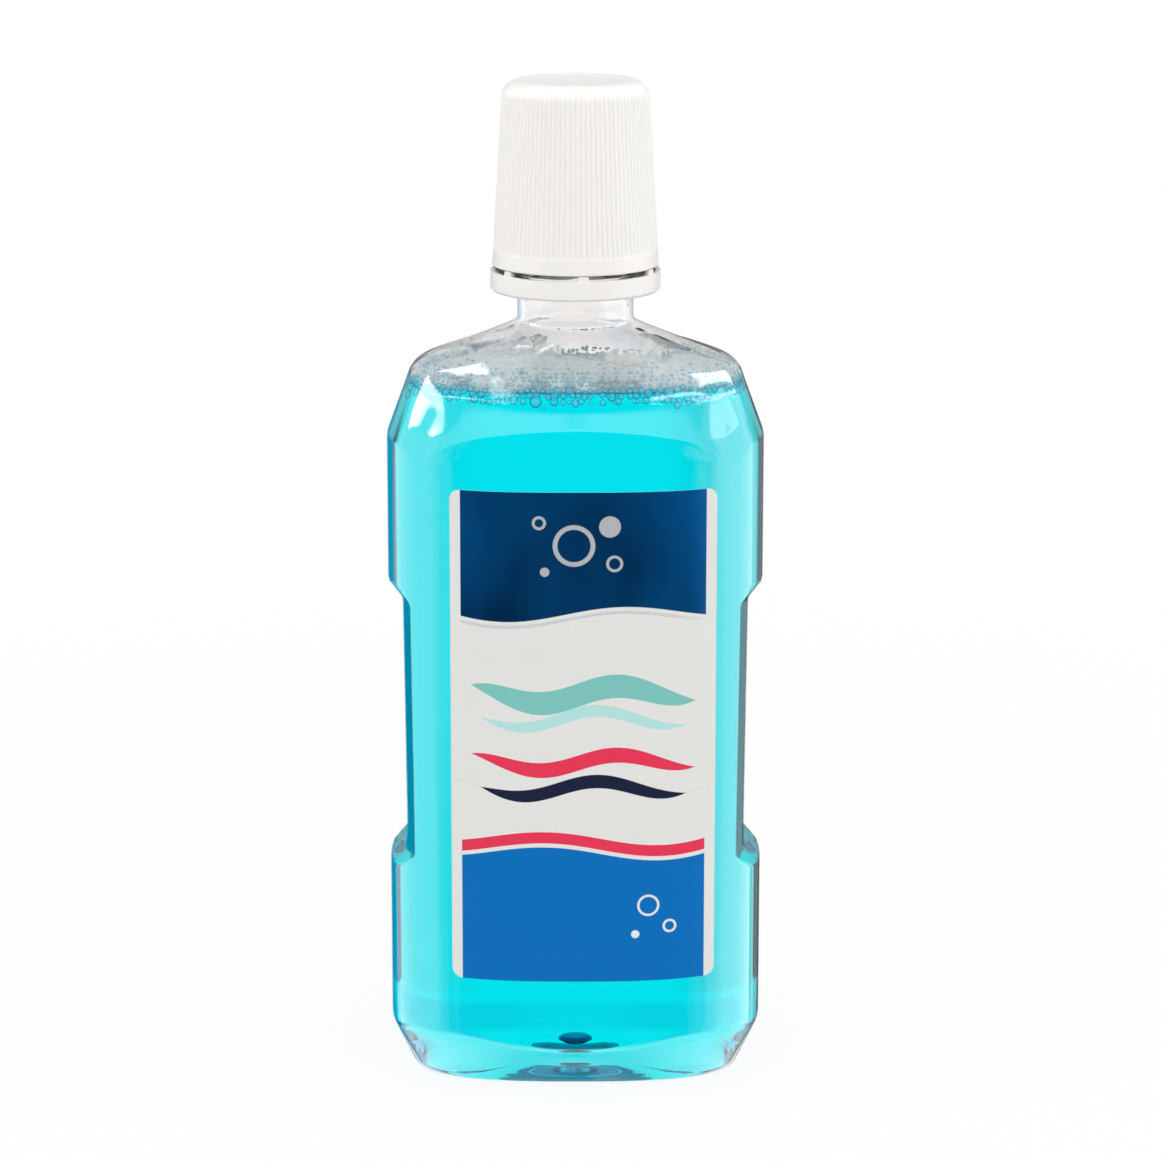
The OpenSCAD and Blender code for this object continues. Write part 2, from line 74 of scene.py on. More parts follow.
# Depth of the liquid's skin under the bottle's outer skin, on the wall and in the heel at the front and back. On the
# wall it is less than the real wall, whose bend makes the colour reach the edge.
TINT_DEPTH, HEEL_DEPTH, BACK_HEEL = 0.15, 0.6, 1.4
# The mound inside the base, and the gate mark on it
MOUND_H, MOUND_R, MOUND_FADE, GATE_H, GATE_R = 2.9, 21, 16, 0.55, 3.45
# The bevel along the front and back edges of the grip panels: its width, and its run for each unit of depth
BEVEL_W, BEVEL_SLOPE = 1.9, 0.29
# How far the edges of the panels, the shoulder's foot, the crease and the other corners are rounded
PANEL_ROUND, BEND_SPREAD, CREASE_ROUND, CORNER_ROUND = 0.7, 2.1, 0.7, 0.42
# How far the front and back bends droop towards the corners, and how far below and above them they do
BEND_DROOP, DROOP_BELOW, DROOP_ABOVE, DROOP_FADE = 4.8, 10, 15, 9
# How far the front crease sags in its middle, rises towards the corners, and carries the wall above it along
CREASE_SAG, CREASE_RISE, CREASE_REACH = 1.1, 2.7, 12

SIDE_SHARES = [
    [0, 0], [0.13, 0.045], [0.25, 0.12], [0.41, 0.31], [0.58, 0.55], [0.73, 0.73], [0.9, 0.92], [1, 1],
]
FRONT_SHARES = [[0, 0], [0.09, 0.03], [0.2, 0.12], [0.35, 0.245], [0.64, 0.585], [0.83, 0.79], [1, 1]]
SQUARE_SHARES = [[0, 0], [0.6, 0.12], [0.85, 0.6], [1, 1]]
# Under the base: half width, half depth and height, from the gate mark out to the floor ring
HOLLOW = [
    [0.4, 0.4, 1.7], [2.4, 2.4, 1.75], [3.5, 3.3, 2.9], [5.6, 4.5, 3.25], [8.5, 5.6, 3.4],
    [13.4, 7.2, 2.95], [22.3, 11, 1.5], [27.5, 13.4, 0.35], [29.8, 14.5, 0],
]
COLUMNS = 336
# Step of the outline, and the length in millimetres and the turn in degrees that its rows keep to after thinning
PATH_STEP, ROW_LENGTH, ROW_TURN = 0.125, 2.4, 4.0


def smooth_table(t, pairs):
    """Monotone smooth curve through the pairs, read at t."""
    x, y = np.array(pairs, float).T
    width, slope = np.diff(x), np.diff(y) / np.diff(x)
    tangent = np.append(slope, slope[-1])
    tangent[1:-1] = 0
    same = slope[:-1] * slope[1:] > 0
    tangent[1:-1][same] = (2 * slope[:-1] * slope[1:] / (slope[:-1] + slope[1:]))[same]
    t = np.clip(t, x[0], x[-1])
    i = np.clip(np.searchsorted(x, t, side="right") - 1, 0, len(width) - 1)
    s = (t - x[i]) / width[i]
    return (
        y[i] * (1 + 2 * s) * (1 - s) ** 2 + width[i] * tangent[i] * s * (1 - s) ** 2
        + y[i + 1] * s * s * (3 - 2 * s) - width[i] * tangent[i + 1] * s * s * (1 - s)
    )


def ease(t):
    t = np.clip(t, 0, 1)
    return t * t * (3 - 2 * t)


def half_width(z):
    steep = (BODY_W - (BODY_W - CHAMFER_W) * np.clip((z - CHAMFER_Z) / CHAMFER_H, 0, 1)) / 2
    return steep - (CHAMFER_W / 2 - NECK_R) * smooth_table((z - SHOULDER_Z) / SHOULDER_H, SIDE_SHARES)


def half_depth(z):
    """Half depth, with the bend at the foot of the shoulder rounded over a few millimetres."""
    height = SHOULDER_H + CHAMFER_H - FRONT_RISE
    spread = BEND_SPREAD * (1 - ease((z - CHAMFER_Z - FRONT_RISE - 4) / 6))
    total, weights = 0, 0
    for away in np.linspace(-2.5, 2.5, 11):
        share = smooth_table((z + away * spread - CHAMFER_Z - FRONT_RISE) / height, FRONT_SHARES)
        weight = math.exp(-0.5 * away ** 2)
        total, weights = total + share * weight, weights + weight
    return BODY_D / 2 - (BODY_D / 2 - NECK_R) * total / weights


def squareness(z):
    share = smooth_table((z - CHAMFER_Z) / (CHAMFER_H + SHOULDER_H), SQUARE_SHARES)
    return BODY_SQUARE - (BODY_SQUARE - 2) * share


def panel_half(z):
    """Half width between the grip panels, which runs out past the body's own above and below."""
    panel = (WAIST_FOOT_W + (WAIST_TOP_W - WAIST_FOOT_W) * (z - WAIST_Z) / WAIST_H) / 2
    away = np.maximum(ease((WAIST_Z - z) / FOOT_STEP_H), ease((z - TOP_STEP_Z) / TOP_STEP_H))
    return panel + (BODY_W / 2 + 1.6 - panel) * away


def body_path():
    """Rows (half width, half depth, squareness, panel half width, height) from the gate mark to the mouth."""
    open_w = BODY_W
    share = np.linspace(0, 1, 160)
    hollow = np.array(HOLLOW)
    places = [[row[0], row[k]] for k in (1, 2) for row in HOLLOW]
    a = hollow[0, 0] + (hollow[-1, 0] - hollow[0, 0]) * share
    b = smooth_table(a, places[:len(HOLLOW)])
    z = smooth_table(a, places[len(HOLLOW):])
    n = 2 + (FOOT_SQUARE - 2) * ease((a - 3) / 9)
    rows = [np.stack([a, b, n, a * 0 + open_w, z], 1)]
    ring = np.linspace(0, 1, 16)[1:, None]
    foot = np.array([FOOT_W / 2, FOOT_D / 2, FOOT_SQUARE, open_w, 0])
    rows.append(rows[0][-1] + (foot - rows[0][-1]) * ring)
    angle = np.radians(np.linspace(0, 60, 14)[1:])[:, None]
    out = np.array([1, 1, 0, 0, 0]) * FOOT_EDGE
    up = np.array([0, 0, 0, 0, FOOT_EDGE])
    rows.append(foot + out * np.sin(angle) + up * (1 - np.cos(angle)))
    crease = np.array([BODY_W / 2, BODY_D / 2, BODY_SQUARE, open_w, CREASE_Z])
    rows.append(rows[-1][-1] + (crease - rows[-1][-1]) * np.linspace(0, 1, 44)[1:, None])
    z = np.arange(CREASE_Z, MOUTH_Z - LIP_H, PATH_STEP)[1:]
    above = z >= NECK_Z
    a = np.where(above, NECK_R, half_width(z))
    b = np.where(above, NECK_R, half_depth(z))
    rows.append(np.stack([a, b, squareness(z), panel_half(z), z], 1))
    return np.concatenate(rows)


def along(path):
    """Length along the path at each row."""
    step = np.diff(path, axis=0)
    length = np.maximum(np.hypot(step[:, 0], step[:, 4]), np.hypot(step[:, 1], step[:, 4]))
    return np.append(0, np.cumsum(length))


def at_length(path, wanted):
    length = along(path)
    return np.stack([np.interp(wanted, length, column) for column in path.T], 1)


def rounded(path, step, spread):
    """The path at equal steps, with its corners rounded over about the given spread."""
    path = at_length(path, np.arange(0, along(path)[-1], step))
    reach = int(4 * spread / step)
    weight = np.exp(-0.5 * (np.arange(-reach, reach + 1) * step / spread) ** 2)
    weight /= weight.sum()
    padded = np.concatenate([2 * path[0] - path[reach:0:-1], path, 2 * path[-1] - path[-2:-reach - 2:-1]])
    return np.stack([np.convolve(column, weight, "valid") for column in padded.T], 1)


def thinned(path, longest, turn, fine_from):
    """Rows of the path picked closer together where it bends, and in the neck's finish."""
    step = np.diff(path, axis=0)
    length = np.hypot(np.hypot(step[:, 0], step[:, 1] * 0.5), step[:, 4]) + 1e-9
    bend = np.zeros(len(step))
    for column in (0, 1, 3):
        slope = np.arctan2(step[:, column], step[:, 4])
        bend[1:] += np.abs(np.angle(np.exp(1j * np.diff(slope))))
    finish = np.where(path[:-1, 4] > fine_from, 1 / 0.32, 0)
    amount = np.append(0, np.cumsum(length * np.maximum(1 / longest, finish) + bend / math.radians(turn)))
    count = int(amount[-1])
    return np.stack([np.interp(np.linspace(0, amount[-1], count), amount, c) for c in path.T], 1)


def even_angles(count):
    """Angles that cut the body's section into about equal lengths, but closer at the grip panels' edges."""
    t = np.linspace(0, TURN, 20001)
    x = BODY_W / 2 * np.sign(np.cos(t)) * np.abs(np.cos(t)) ** (2 / BODY_SQUARE)
    y = BODY_D / 2 * np.sign(np.sin(t)) * np.abs(np.sin(t)) ** (2 / BODY_SQUARE)
    corner = np.degrees(np.arctan2(np.abs(np.sin(t)), np.abs(np.cos(t))))[1:]
    closer = 1 + 3 * (np.abs(corner - 35) < 2)
    length = np.append(0, np.cumsum(np.hypot(np.diff(x), np.diff(y)) * closer))
    return np.interp(np.arange(count) * length[-1] / count, length, t)


def skin(path, angles):
    """Points of the surface through the path's sections, one ring for each row."""
    a, b, n, w, z = (column[:, None] for column in path.T)
    c, s = np.cos(angles)[None], np.sin(angles)[None]
    x = a * np.abs(c) ** (2 / n)
    y = b * np.sign(s) * np.abs(s) ** (2 / n)
    bevel_y = b * np.clip(1 - np.clip((w - BEVEL_W) / a, 0, 1) ** n, 0, 1) ** (1 / n)
    bevel = w - BEVEL_W + BEVEL_SLOPE * (bevel_y - np.abs(y))
    x = np.where(np.abs(y) < bevel_y, np.minimum(x, bevel), x)
    over = np.clip(0.5 + 0.5 * (w - x) / PANEL_ROUND, 0, 1)
    x = w + (x - w) * over - PANEL_ROUND * over * (1 - over)
    across = np.abs(c) ** (4 / BODY_SQUARE)
    bend = ease((z - CHAMFER_Z + DROOP_BELOW) / DROOP_FADE) * ease((CHAMFER_Z + DROOP_ABOVE - z) / DROOP_FADE)
    lift = -BEND_DROOP * across * ease((0.93 - np.abs(c)) / 0.2) * bend
    crease = ease((z - FOOT_EDGE) / (CREASE_Z - FOOT_EDGE)) * (s < 0)
    crease = crease * ease((CREASE_Z + CREASE_REACH - z) / CREASE_REACH)
    curve = CREASE_RISE * np.sin(math.pi / 2 * np.clip(across / 0.45, 0, 1)) - CREASE_SAG
    lift = lift + curve * crease * ease((0.97 - np.abs(c)) / 0.15)
    return np.stack([np.sign(c) * x, y, z + lift], 2)


def outward(points):
    """Unit normals of a grid of rings that wind anticlockwise and rise."""
    around = np.roll(points, -1, 1) - np.roll(points, 1, 1)
    normal = np.cross(around, np.gradient(points, axis=0))
    return normal / (np.linalg.norm(normal, axis=2, keepdims=True) + 1e-12)


def thread_height(angle, z):
    """Share of its full height that the neck's thread has at each angle and height."""
    height = np.zeros(np.broadcast(angle, z).shape)
    for lap in range(math.ceil(NECK_TURNS) + 1):
        place = np.mod(angle, TURN) / TURN + lap
        away = np.abs(z - THREAD_Z - PITCH * place)
        share = np.clip((THREAD_BASE / 2 - away) / ((THREAD_BASE - THREAD_CREST) / 2), 0, 1)
        ends = np.clip(np.minimum(place, NECK_TURNS - place) / 0.1, 0, 1)
        height = np.maximum(height, share * ease(ends))
    return height


def added(name, data):
    """New object in the scene."""
    made = bpy.data.objects.new(name, data)
    bpy.context.scene.collection.objects.link(made)
    return made


def mesh_piece(name, points, faces, *materials):
    """A new smooth object from points in millimetres and faces given as lists of point numbers."""
    data = bpy.data.meshes.new(name)
    data.from_pydata((np.asarray(points) * MM).tolist(), [], faces)
    data.validate()
    data.shade_smooth()
    for coat in materials:
        data.materials.append(coat)
    return added(name, data)


def ring_faces(rows, columns):
    """Quads between rings of points, facing out where the rings rise."""
    i, k = np.meshgrid(np.arange(rows - 1), np.arange(columns), indexing="ij")
    here, after = i * columns + k, i * columns + (k + 1) % columns
    return np.stack([here, after, after + columns, here + columns], 2).reshape(-1, 4).tolist()


def fan(start, columns, tip, upwards):
    """Triangles between the ring whose points begin at start and the point at its tip."""
    k = np.arange(columns)
    ends = [start + k, start + (k + 1) % columns]
    return np.stack((ends if upwards else ends[::-1]) + [tip + 0 * k], 1).tolist()


def closed_rings(rings, first, last):
    """Points and faces of rings closed by a fan at each end."""
    rows, columns = rings.shape[:2]
    points = np.concatenate([rings.reshape(-1, 3), [first, last]])
    faces = ring_faces(rows, columns) + fan(0, columns, rows * columns, False)
    return points, faces + fan((rows - 1) * columns, columns, rows * columns + 1, True)


# ---------------------------------------------------------------- materials


class Tree:
    """Short way to write a node tree."""

    def __init__(self, data):
        data.use_nodes = True
        self.data, self.tree = data, data.node_tree
        self.tree.nodes.clear()

    def node(self, kind, inputs=None, **settings):
        made = self.tree.nodes.new("ShaderNode" + kind)
        for name, value in settings.items():
            setattr(made, name, value)
        for name, value in (inputs or {}).items():
            if isinstance(value, bpy.types.NodeSocket):
                self.tree.links.new(value, made.inputs[name])
            else:
                made.inputs[name].default_value = value
        return made

    def value(self, kind, inputs=None, **settings):
        """First output of a new node."""
        return self.node(kind, inputs, **settings).outputs[0]

    def math(self, operation, *values, clamp=False):
        return self.value("Math", dict(enumerate(values)), operation=operation, use_clamp=clamp)

    def plus(self, a, b):
        return self.math("ADD", a, b)

    def minus(self, a, b, clamp=False):
        return self.math("SUBTRACT", a, b, clamp=clamp)

    def times(self, a, b, clamp=False):
        return self.math("MULTIPLY", a, b, clamp=clamp)

    def scaled(self, value, factor, offset, clamp=False):
        return self.math("MULTIPLY_ADD", value, factor, offset, clamp=clamp)

    def cover(self, value, low, high, edge=0.12):
        """1 where value lies between low and high, with a soft edge."""
        rising = self.scaled(self.minus(value, low), 1 / edge, 0.5, clamp=True)
        falling = self.scaled(self.minus(high, value), 1 / edge, 0.5, clamp=True)
        return self.times(rising, falling)

    def carried(self, value, low, high, at_low=0.0, at_high=1.0, curve="LINEAR"):
        """The value carried from the span low to high to the span at_low to at_high."""
        inputs = {"Value": value, "From Min": low, "From Max": high, "To Min": at_low, "To Max": at_high}
        return self.value("MapRange", inputs, interpolation_type=curve)

    def ray(self, kind):
        """1 on rays of the kind Camera, Shadow, Glossy or Transmission."""
        return self.node("LightPath").outputs[f"Is {kind} Ray"]

    def clear(self, tone=(1, 1, 1)):
        return self.value("BsdfTransparent", {"Color": (*tone, 1)})

    def mix(self, share, a, b):
        """Colour between a and b. The sockets' numbers are those of a Mix node for colours."""
        return self.node("Mix", {0: share, 6: a, 7: b}, data_type="RGBA").outputs[2]

    def blend(self, share, a, b):
        return self.value("MixShader", {0: share, 1: a, 2: b})

    def bump(self, height, strength, distance_mm):
        return self.value("Bump", {"Height": height, "Strength": strength, "Distance": distance_mm * MM})

    def place(self):
        return self.node("TexCoord").outputs["Object"]

    def noise(self, scale, detail=2.0, stretch=(1, 1, 1)):
        place = self.value("Mapping", {"Vector": self.place(), "Scale": stretch})
        return self.node("TexNoise", {"Vector": place, "Scale": scale, "Detail": detail}).outputs["Fac"]

    def out(self, surface, **more):
        """Ends the tree, and returns what it belongs to."""
        self.node("OutputMaterial", {"Surface": surface, **more})
        return self.data


def material(name):
    return Tree(bpy.data.materials.new(name))


def lets_lamps_through(t, surface, tone=(1, 1, 1)):
    """Clear material that lets the lamps' light reach what is behind it."""
    return t.blend(t.ray("Shadow"), surface, t.clear(tone))


def casts_less(t):
    """Share that dims the shadow of foam, which scatters light on instead of stopping it."""
    return t.scaled(t.ray("Shadow"), -0.75, 1)


def glossy_film(t, ior, rough, normal):
    """Clear film that mirrors on its outer side, and bends nothing."""
    shine = t.value("Fresnel", {"IOR": ior, "Normal": normal})
    front = t.minus(1, t.node("NewGeometry").outputs["Backfacing"])
    gloss = t.value("BsdfGlossy", {"Roughness": rough, "Normal": normal})
    return t.blend(t.times(shine, front), t.clear(), gloss)


def pet_wall():
    """Dry blown wall, which bends light, with the soft waves of blow moulding."""
    t = material("pet_wall")
    wave = t.bump(t.noise(75, 1.5, (1, 1, 2.4)), 0.7, 0.6)
    glass = t.value("BsdfPrincipled", {
        "Base Color": (0.995, 0.985, 0.975, 1), "Roughness": 0.015, "IOR": PET_IOR,
        "Transmission Weight": 1.0, "Normal": wave,
    })
    return t.out(lets_lamps_through(t, glass, (0.95, 0.96, 0.96)))


def pet_film(name, gloss_ior):
    """Wall against the liquid, which leaves the bend of light to the liquid."""
    t = material(name)
    wave = t.bump(t.noise(46, 1.5, (1, 1, 0.6)), 0.35, 0.5)
    return t.out(glossy_film(t, gloss_ior, 0.03, wave))


def liquid_material():
    t = material("blue_liquid")
    wave = t.bump(t.noise(38, 1, (1, 1, 0.5)), 0.35, 0.5)
    body = t.value("BsdfPrincipled", {
        "Base Color": (1, 1, 1, 1), "Roughness": 0.0, "IOR": LIQUID_IOR,
        "Transmission Weight": 1.0, "Normal": wave,
    })
    depth = t.value("VolumeAbsorption", {"Color": (0.0, 0.98, 0.9955, 1), "Density": 130.0})
    return t.out(lets_lamps_through(t, body), Volume=depth)


def painted_dark_gate_material():
    """Opaque knob painted deep blue: painted shade for the dark that the clear gate mark shows through the liquid,
    where it looks down to the shadowed floor under the base.
    """
    t = material("painted_dark_gate")
    tone = t.mix(t.noise(500, 2), (0.002, 0.10, 0.24, 1), (0.004, 0.16, 0.36, 1))
    return t.out(t.value("BsdfPrincipled", {"Base Color": tone, "Roughness": 0.12, "IOR": 1.3}))


def haze_material(name, low_tone, high_tone, share_through, cells_from):
    """Foam too fine to tell its bubbles apart, with larger clear cells above a height in millimetres."""
    t = material(name)
    place = t.place()

    def cells(scale, feature="DISTANCE_TO_EDGE"):
        return t.node("TexVoronoi", {"Vector": place, "Scale": scale}, feature=feature).outputs["Distance"]

    def outlines(scale, thin):
        return t.minus(1, t.times(cells(scale), thin, clamp=True))

    film, outline = outlines(1500.0, 3.2), outlines(330.0, 9.0)
    height = t.node("SeparateXYZ", {0: place}).outputs[2]
    above = t.minus(t.scaled(height, 1 / MM, -cells_from), 2.5)
    open_cells = t.times(t.scaled(t.noise(110, 1), 5.0, above), 0.5, clamp=True)
    tone = t.mix(t.noise(160, 3), (*low_tone, 1), (*high_tone, 1))
    tone = t.mix(t.times(film, 0.5), tone, (0.94, 0.95, 0.95, 1))
    tone = t.mix(t.times(open_cells, outline), tone, (0.62, 0.64, 0.64, 1))
    relief = t.plus(t.times(film, 0.7), t.times(cells(2600.0, "F1"), 0.6))
    body = t.value("BsdfPrincipled", {
        "Base Color": tone, "Roughness": 0.22, "IOR": LIQUID_IOR, "Normal": t.bump(relief, 0.5, 0.2),
    })
    through = t.value("BsdfTranslucent", {"Color": tone})
    dense = t.scaled(film, 0.22, 0.74)
    thinner = t.minus(t.scaled(outline, 0.55, 0.2), dense)
    dense = t.plus(dense, t.times(open_cells, thinner))
    foam = t.blend(share_through, body, through)
    return t.out(t.blend(t.times(dense, casts_less(t)), t.clear((0.97, 0.98, 0.98)), foam))


def bubble_material(name, painted_rim_tone, middle_tone, dense_middle, rim_from):
    """One bubble's film: thin in the middle, and denser where it is seen edge on. Its tones are painted light and
    shade: the rim's tone stands in for what a bubble's edge mirrors and bends, the middle's for what shows through
    it.
    """
    t = material(name)
    facing = t.node("LayerWeight", {"Blend": 0.5}).outputs["Facing"]
    rim = t.carried(facing, rim_from, rim_from + 0.35, curve="SMOOTHSTEP")
    uneven = t.times(rim, t.scaled(t.noise(420, 2), 0.5, 0.75))
    dense = t.scaled(uneven, 0.85 - dense_middle, dense_middle, clamp=True)
    tone = t.mix(rim, (*middle_tone, 1), (*painted_rim_tone, 1))
    body = t.value("BsdfPrincipled", {"Base Color": tone, "Roughness": 0.06, "IOR": 1.5})
    return t.out(t.blend(t.times(dense, casts_less(t)), t.clear((0.97, 0.99, 0.99)), body))


def cap_material(name, tone, rough):
    """Satin moulded plastic: fine grain, faint unevenness of tone and a little wear of the gloss."""
    t = material(name)
    darker = tuple(0.965 * v for v in tone)
    return t.out(t.value("BsdfPrincipled", {
        "Base Color": t.mix(t.noise(60, 3), (*darker, 1), (*tone, 1)),
        "Roughness": t.carried(t.noise(25, 4), 0, 1, rough - 0.06, rough + 0.08), "IOR": 1.49,
        "Normal": t.bump(t.noise(2200, 2), 0.12, 0.05),
        "Subsurface Weight": 0.25, "Subsurface Radius": (1.0, 0.9, 0.8), "Subsurface Scale": 0.0015,
    }))


def film_back():
    """Unprinted side of a label: white film that lets some light through."""
    t = material("label_film_back")
    colour = t.mix(t.noise(90, 3), (0.86, 0.88, 0.88, 1), (0.92, 0.93, 0.93, 1))
    grain = t.bump(t.noise(900, 2), 0.1, 0.03)
    body = t.value("BsdfPrincipled", {"Base Color": colour, "Roughness": 0.5, "Normal": grain})
    return t.out(t.blend(0.4, body, t.value("BsdfTranslucent", {"Color": colour})))


# Inks of the labels, and the front label's foil: its own blue, mixed from a shaded and a sheen tone that are painted
# reflection
PAPER, PALER_PAPER = (0.70, 0.705, 0.68, 1), (0.73, 0.73, 0.70, 1)
TEAL, MINT, RED = (0.19, 0.51, 0.47, 1), (0.42, 0.70, 0.67, 1), (0.74, 0.037, 0.089, 1)
DARK, GREY, SILVER = (0.012, 0.016, 0.048, 1), (0.72, 0.75, 0.76, 1), (0.72, 0.75, 0.77, 1)
BLUE, FOIL_BLUE_SHADED, FOIL_BLUE_SHEEN = (0.0002, 0.145, 0.46, 1), (0.0006, 0.034, 0.115, 1), (0.0012, 0.110, 0.34, 1)
BACK_TOP_BLUE, BACK_LOW_BLUE = (0.0008, 0.105, 0.33, 1), (0.0005, 0.125, 0.38, 1)
# Half width of the front's blocks of colour, and the back's panel
FRONT_HALF, PANEL_HALF, PANEL_FOOT, PANEL_TOP = 26.1, 17.0, 13.0, 109.0


class Printing(Tree):
    """A label's material, with its print by the place in millimetres: u across and v up from the foot."""

    def __init__(self, name, side, shift, foot):
        super().__init__(bpy.data.materials.new(name))
        place = self.node("SeparateXYZ", {0: self.place()}).outputs
        self.u = self.scaled(place[0], side / MM, -shift)
        self.v = self.scaled(place[2], 1 / MM, -foot)

    def wave(self, middle, height, length, phase):
        return self.scaled(self.math("SINE", self.scaled(self.u, TURN / length, phase)), height, middle)

    def band(self, line, low, high):
        """Strip between low and high above the line."""
        return self.cover(self.minus(self.v, line), low, high)

    def ribbon(self, line, thick, reach):
        """Strip along the line that tapers to nothing at its reach."""
        taper = self.math("POWER", self.math("DIVIDE", self.math("ABSOLUTE", self.u), reach), 4)
        half = self.times(self.minus(1, taper, clamp=True), thick / 2)
        return self.cover(self.v, self.minus(line, half), self.plus(line, half))

    def rings(self, places):
        """Rings, each by its place, inner radius and outer radius."""
        share = 0
        for x, z, inner, outer in places:
            dx, dz = self.minus(self.u, x), self.minus(self.v, z)
            away = self.math("SQRT", self.plus(self.times(dx, dx), self.times(dz, dz)))
            share = self.math("MAXIMUM", share, self.cover(away, inner, outer, 0.16))
        return share

    def within(self, half):
        return self.cover(self.math("ABSOLUTE", self.u), -1, half)

    def painted(self, layers):
        """Colour of the paper under layers, each a share and its ink."""
        colour = self.mix(self.noise(120, 3), PAPER, PALER_PAPER)
        for share, ink in layers:
            colour = self.mix(share, colour, ink)
        return colour


def front_print():
    """Front label: foil panel with a waved edge, wave ribbons and rings of bubbles, and no lettering."""
    t = Printing("front_print", 1, LABEL_SHIFT, LABEL_Z)
    inside = t.within(FRONT_HALF)
    top_edge, low_edge = t.wave(81.5, 1.7, 52, 0.5), t.wave(28.6, 1.6, 52, 2.6)
    top, line, red, low = (t.times(t.band(*band), inside) for band in [
        (top_edge, 0, LABEL_H), (top_edge, -1.5, -0.8), (low_edge, 0.9, 3.4), (low_edge, -LABEL_H, 0),
    ])
    silver = t.math("MAXIMUM", line, t.rings([
        (-2.0, 96.5, 3.5, 4.5), (5.6, 100.6, 0, 2.3), (6.6, 92.6, 1.2, 1.8),
        (-9.4, 101.4, 0.9, 1.5), (-8.2, 90.8, 0, 1.0),
    ]))
    # Painted reflection on the foil: darker and brighter patches of its blue, brighter towards the right
    foil_sheen_patches = t.scaled(t.u, 0.005, t.noise(30, 2.5, (1.0, 1.0, 0.5)))
    foil = t.mix(t.carried(foil_sheen_patches, 0.36, 0.62), FOIL_BLUE_SHADED, FOIL_BLUE_SHEEN)
    metal = t.math("MAXIMUM", t.times(top, 0.45), t.times(silver, 0.25))
    ripple = t.plus(t.noise(45, 3, (1, 1, 0.7)), t.times(t.noise(700, 2), 0.03))
    colour = t.painted([
        (t.ribbon(t.wave(58.6, 1.9, 33, 1.0), 2.6, 22), MINT),
        (t.ribbon(t.wave(64, 1.9, 33, 0.2), 5.2, 24), TEAL),
        (t.ribbon(t.wave(49, 1.7, 33, 0.2), 3.4, 24), RED),
        (t.ribbon(t.wave(43.2, 1.7, 33, 1.0), 3.0, 22), DARK),
        (red, RED), (top, foil), (low, BLUE),
        (t.rings([(14, 17, 1.9, 2.4), (18.6, 12.2, 1.0, 1.5), (11.2, 10.6, 0, 0.9)]), GREY),
        (silver, SILVER),
    ])
    return t.out(t.value("BsdfPrincipled", {
        "Base Color": colour, "Metallic": metal, "Roughness": t.scaled(metal, -0.25, 0.36), "IOR": 1.2,
        "Normal": t.bump(ripple, 0.35, 0.3),
    }))


def back_panel(name):
    """Material of the clear back label, and the share of it that its panel covers."""
    t = Printing(name, -1, 0, BACK_Z)
    return t, t.times(t.within(PANEL_HALF), t.cover(t.v, PANEL_FOOT, PANEL_TOP))


def back_print():
    """Back label: clear film with a pale printed panel, waves and bubbles, and no lettering."""
    t, panel = back_panel("back_print")
    top_edge, low_edge = t.wave(92, 1.4, 40, 0.6), t.wave(31, 1.4, 40, 2.4)
    colour = t.painted([
        (t.band(top_edge, 0, BACK_H), BACK_TOP_BLUE), (t.band(low_edge, -BACK_H, 0), BACK_LOW_BLUE),
        (t.band(low_edge, 0.8, 2.2), RED),
        (t.ribbon(t.wave(78, 1.5, 30, 0.2), 2.6, 17), TEAL),
        (t.ribbon(t.wave(72, 1.5, 30, 0.9), 1.6, 16), MINT),
        (t.rings([(0, 56, 6.6, 7.4), (10.4, 63, 1.8, 2.4), (-10.0, 50, 2.4, 3.0), (-9.2, 61.5, 0, 1.2)]), TEAL),
        (t.rings([
            (-7, 101.5, 1.5, 2.1), (0, 100.4, 2.6, 3.2), (8.2, 102.4, 0, 1.4), (8, 22, 1.7, 2.3),
            (3.6, 18.4, 0, 1),
        ]), GREY),
    ])
    ripple = t.bump(t.noise(60, 3), 0.3, 0.3)
    printed = t.value("BsdfPrincipled", {"Base Color": colour, "Roughness": 0.36, "IOR": 1.25, "Normal": ripple})
    return t.out(t.blend(panel, glossy_film(t, 1.45, 0.12, ripple), printed))


def clear_film():
    """Inner side of the clear back label, where the panel's white ink shows."""
    t, panel = back_panel("back_film")
    tone = t.mix(t.noise(90, 3), (0.74, 0.76, 0.76, 1), (0.8, 0.81, 0.81, 1))
    return t.out(t.blend(panel, t.clear(), t.value("BsdfPrincipled", {"Base Color": tone, "Roughness": 0.5})))


def floor_material():
    """Pale floor that looks white to the camera and keeps the bottle's faint shadow.

    Outside the bottle's foot, what the bottle mirrors or bends is the world, which goes on below the horizon.
    """
    t = material("studio_floor")
    place = t.node("SeparateXYZ", {0: t.place()}).outputs

    def away(deep):
        """Distance in metres from the bottle's middle, in ellipses deep for each unit of width."""
        scaled = t.math("DIVIDE", place[1], deep)
        return t.math("SQRT", t.plus(t.times(place[0], place[0]), t.times(scaled, scaled)))

    outside = t.carried(away(0.52), 0.028, 0.036, curve="SMOOTHSTEP")
    whitened = t.times(t.carried(away(1.0), 0.1, 0.6, 0.9, 0.995, "SMOOTHSTEP"), outside)
    lit = t.value("BsdfDiffuse", {"Color": t.mix(t.noise(3, 2), (0.88, 0.88, 0.88, 1), (0.9, 0.9, 0.9, 1))})
    white = t.value("Emission", {"Color": (1, 1, 1, 1), "Strength": 1.0})
    seen = t.blend(t.times(t.ray("Camera"), whitened), lit, white)
    bent = t.math("MAXIMUM", t.ray("Glossy"), t.ray("Transmission"))
    return t.out(t.blend(t.times(bent, outside), seen, t.clear()))


# ---------------------------------------------------------------- bottle and liquid

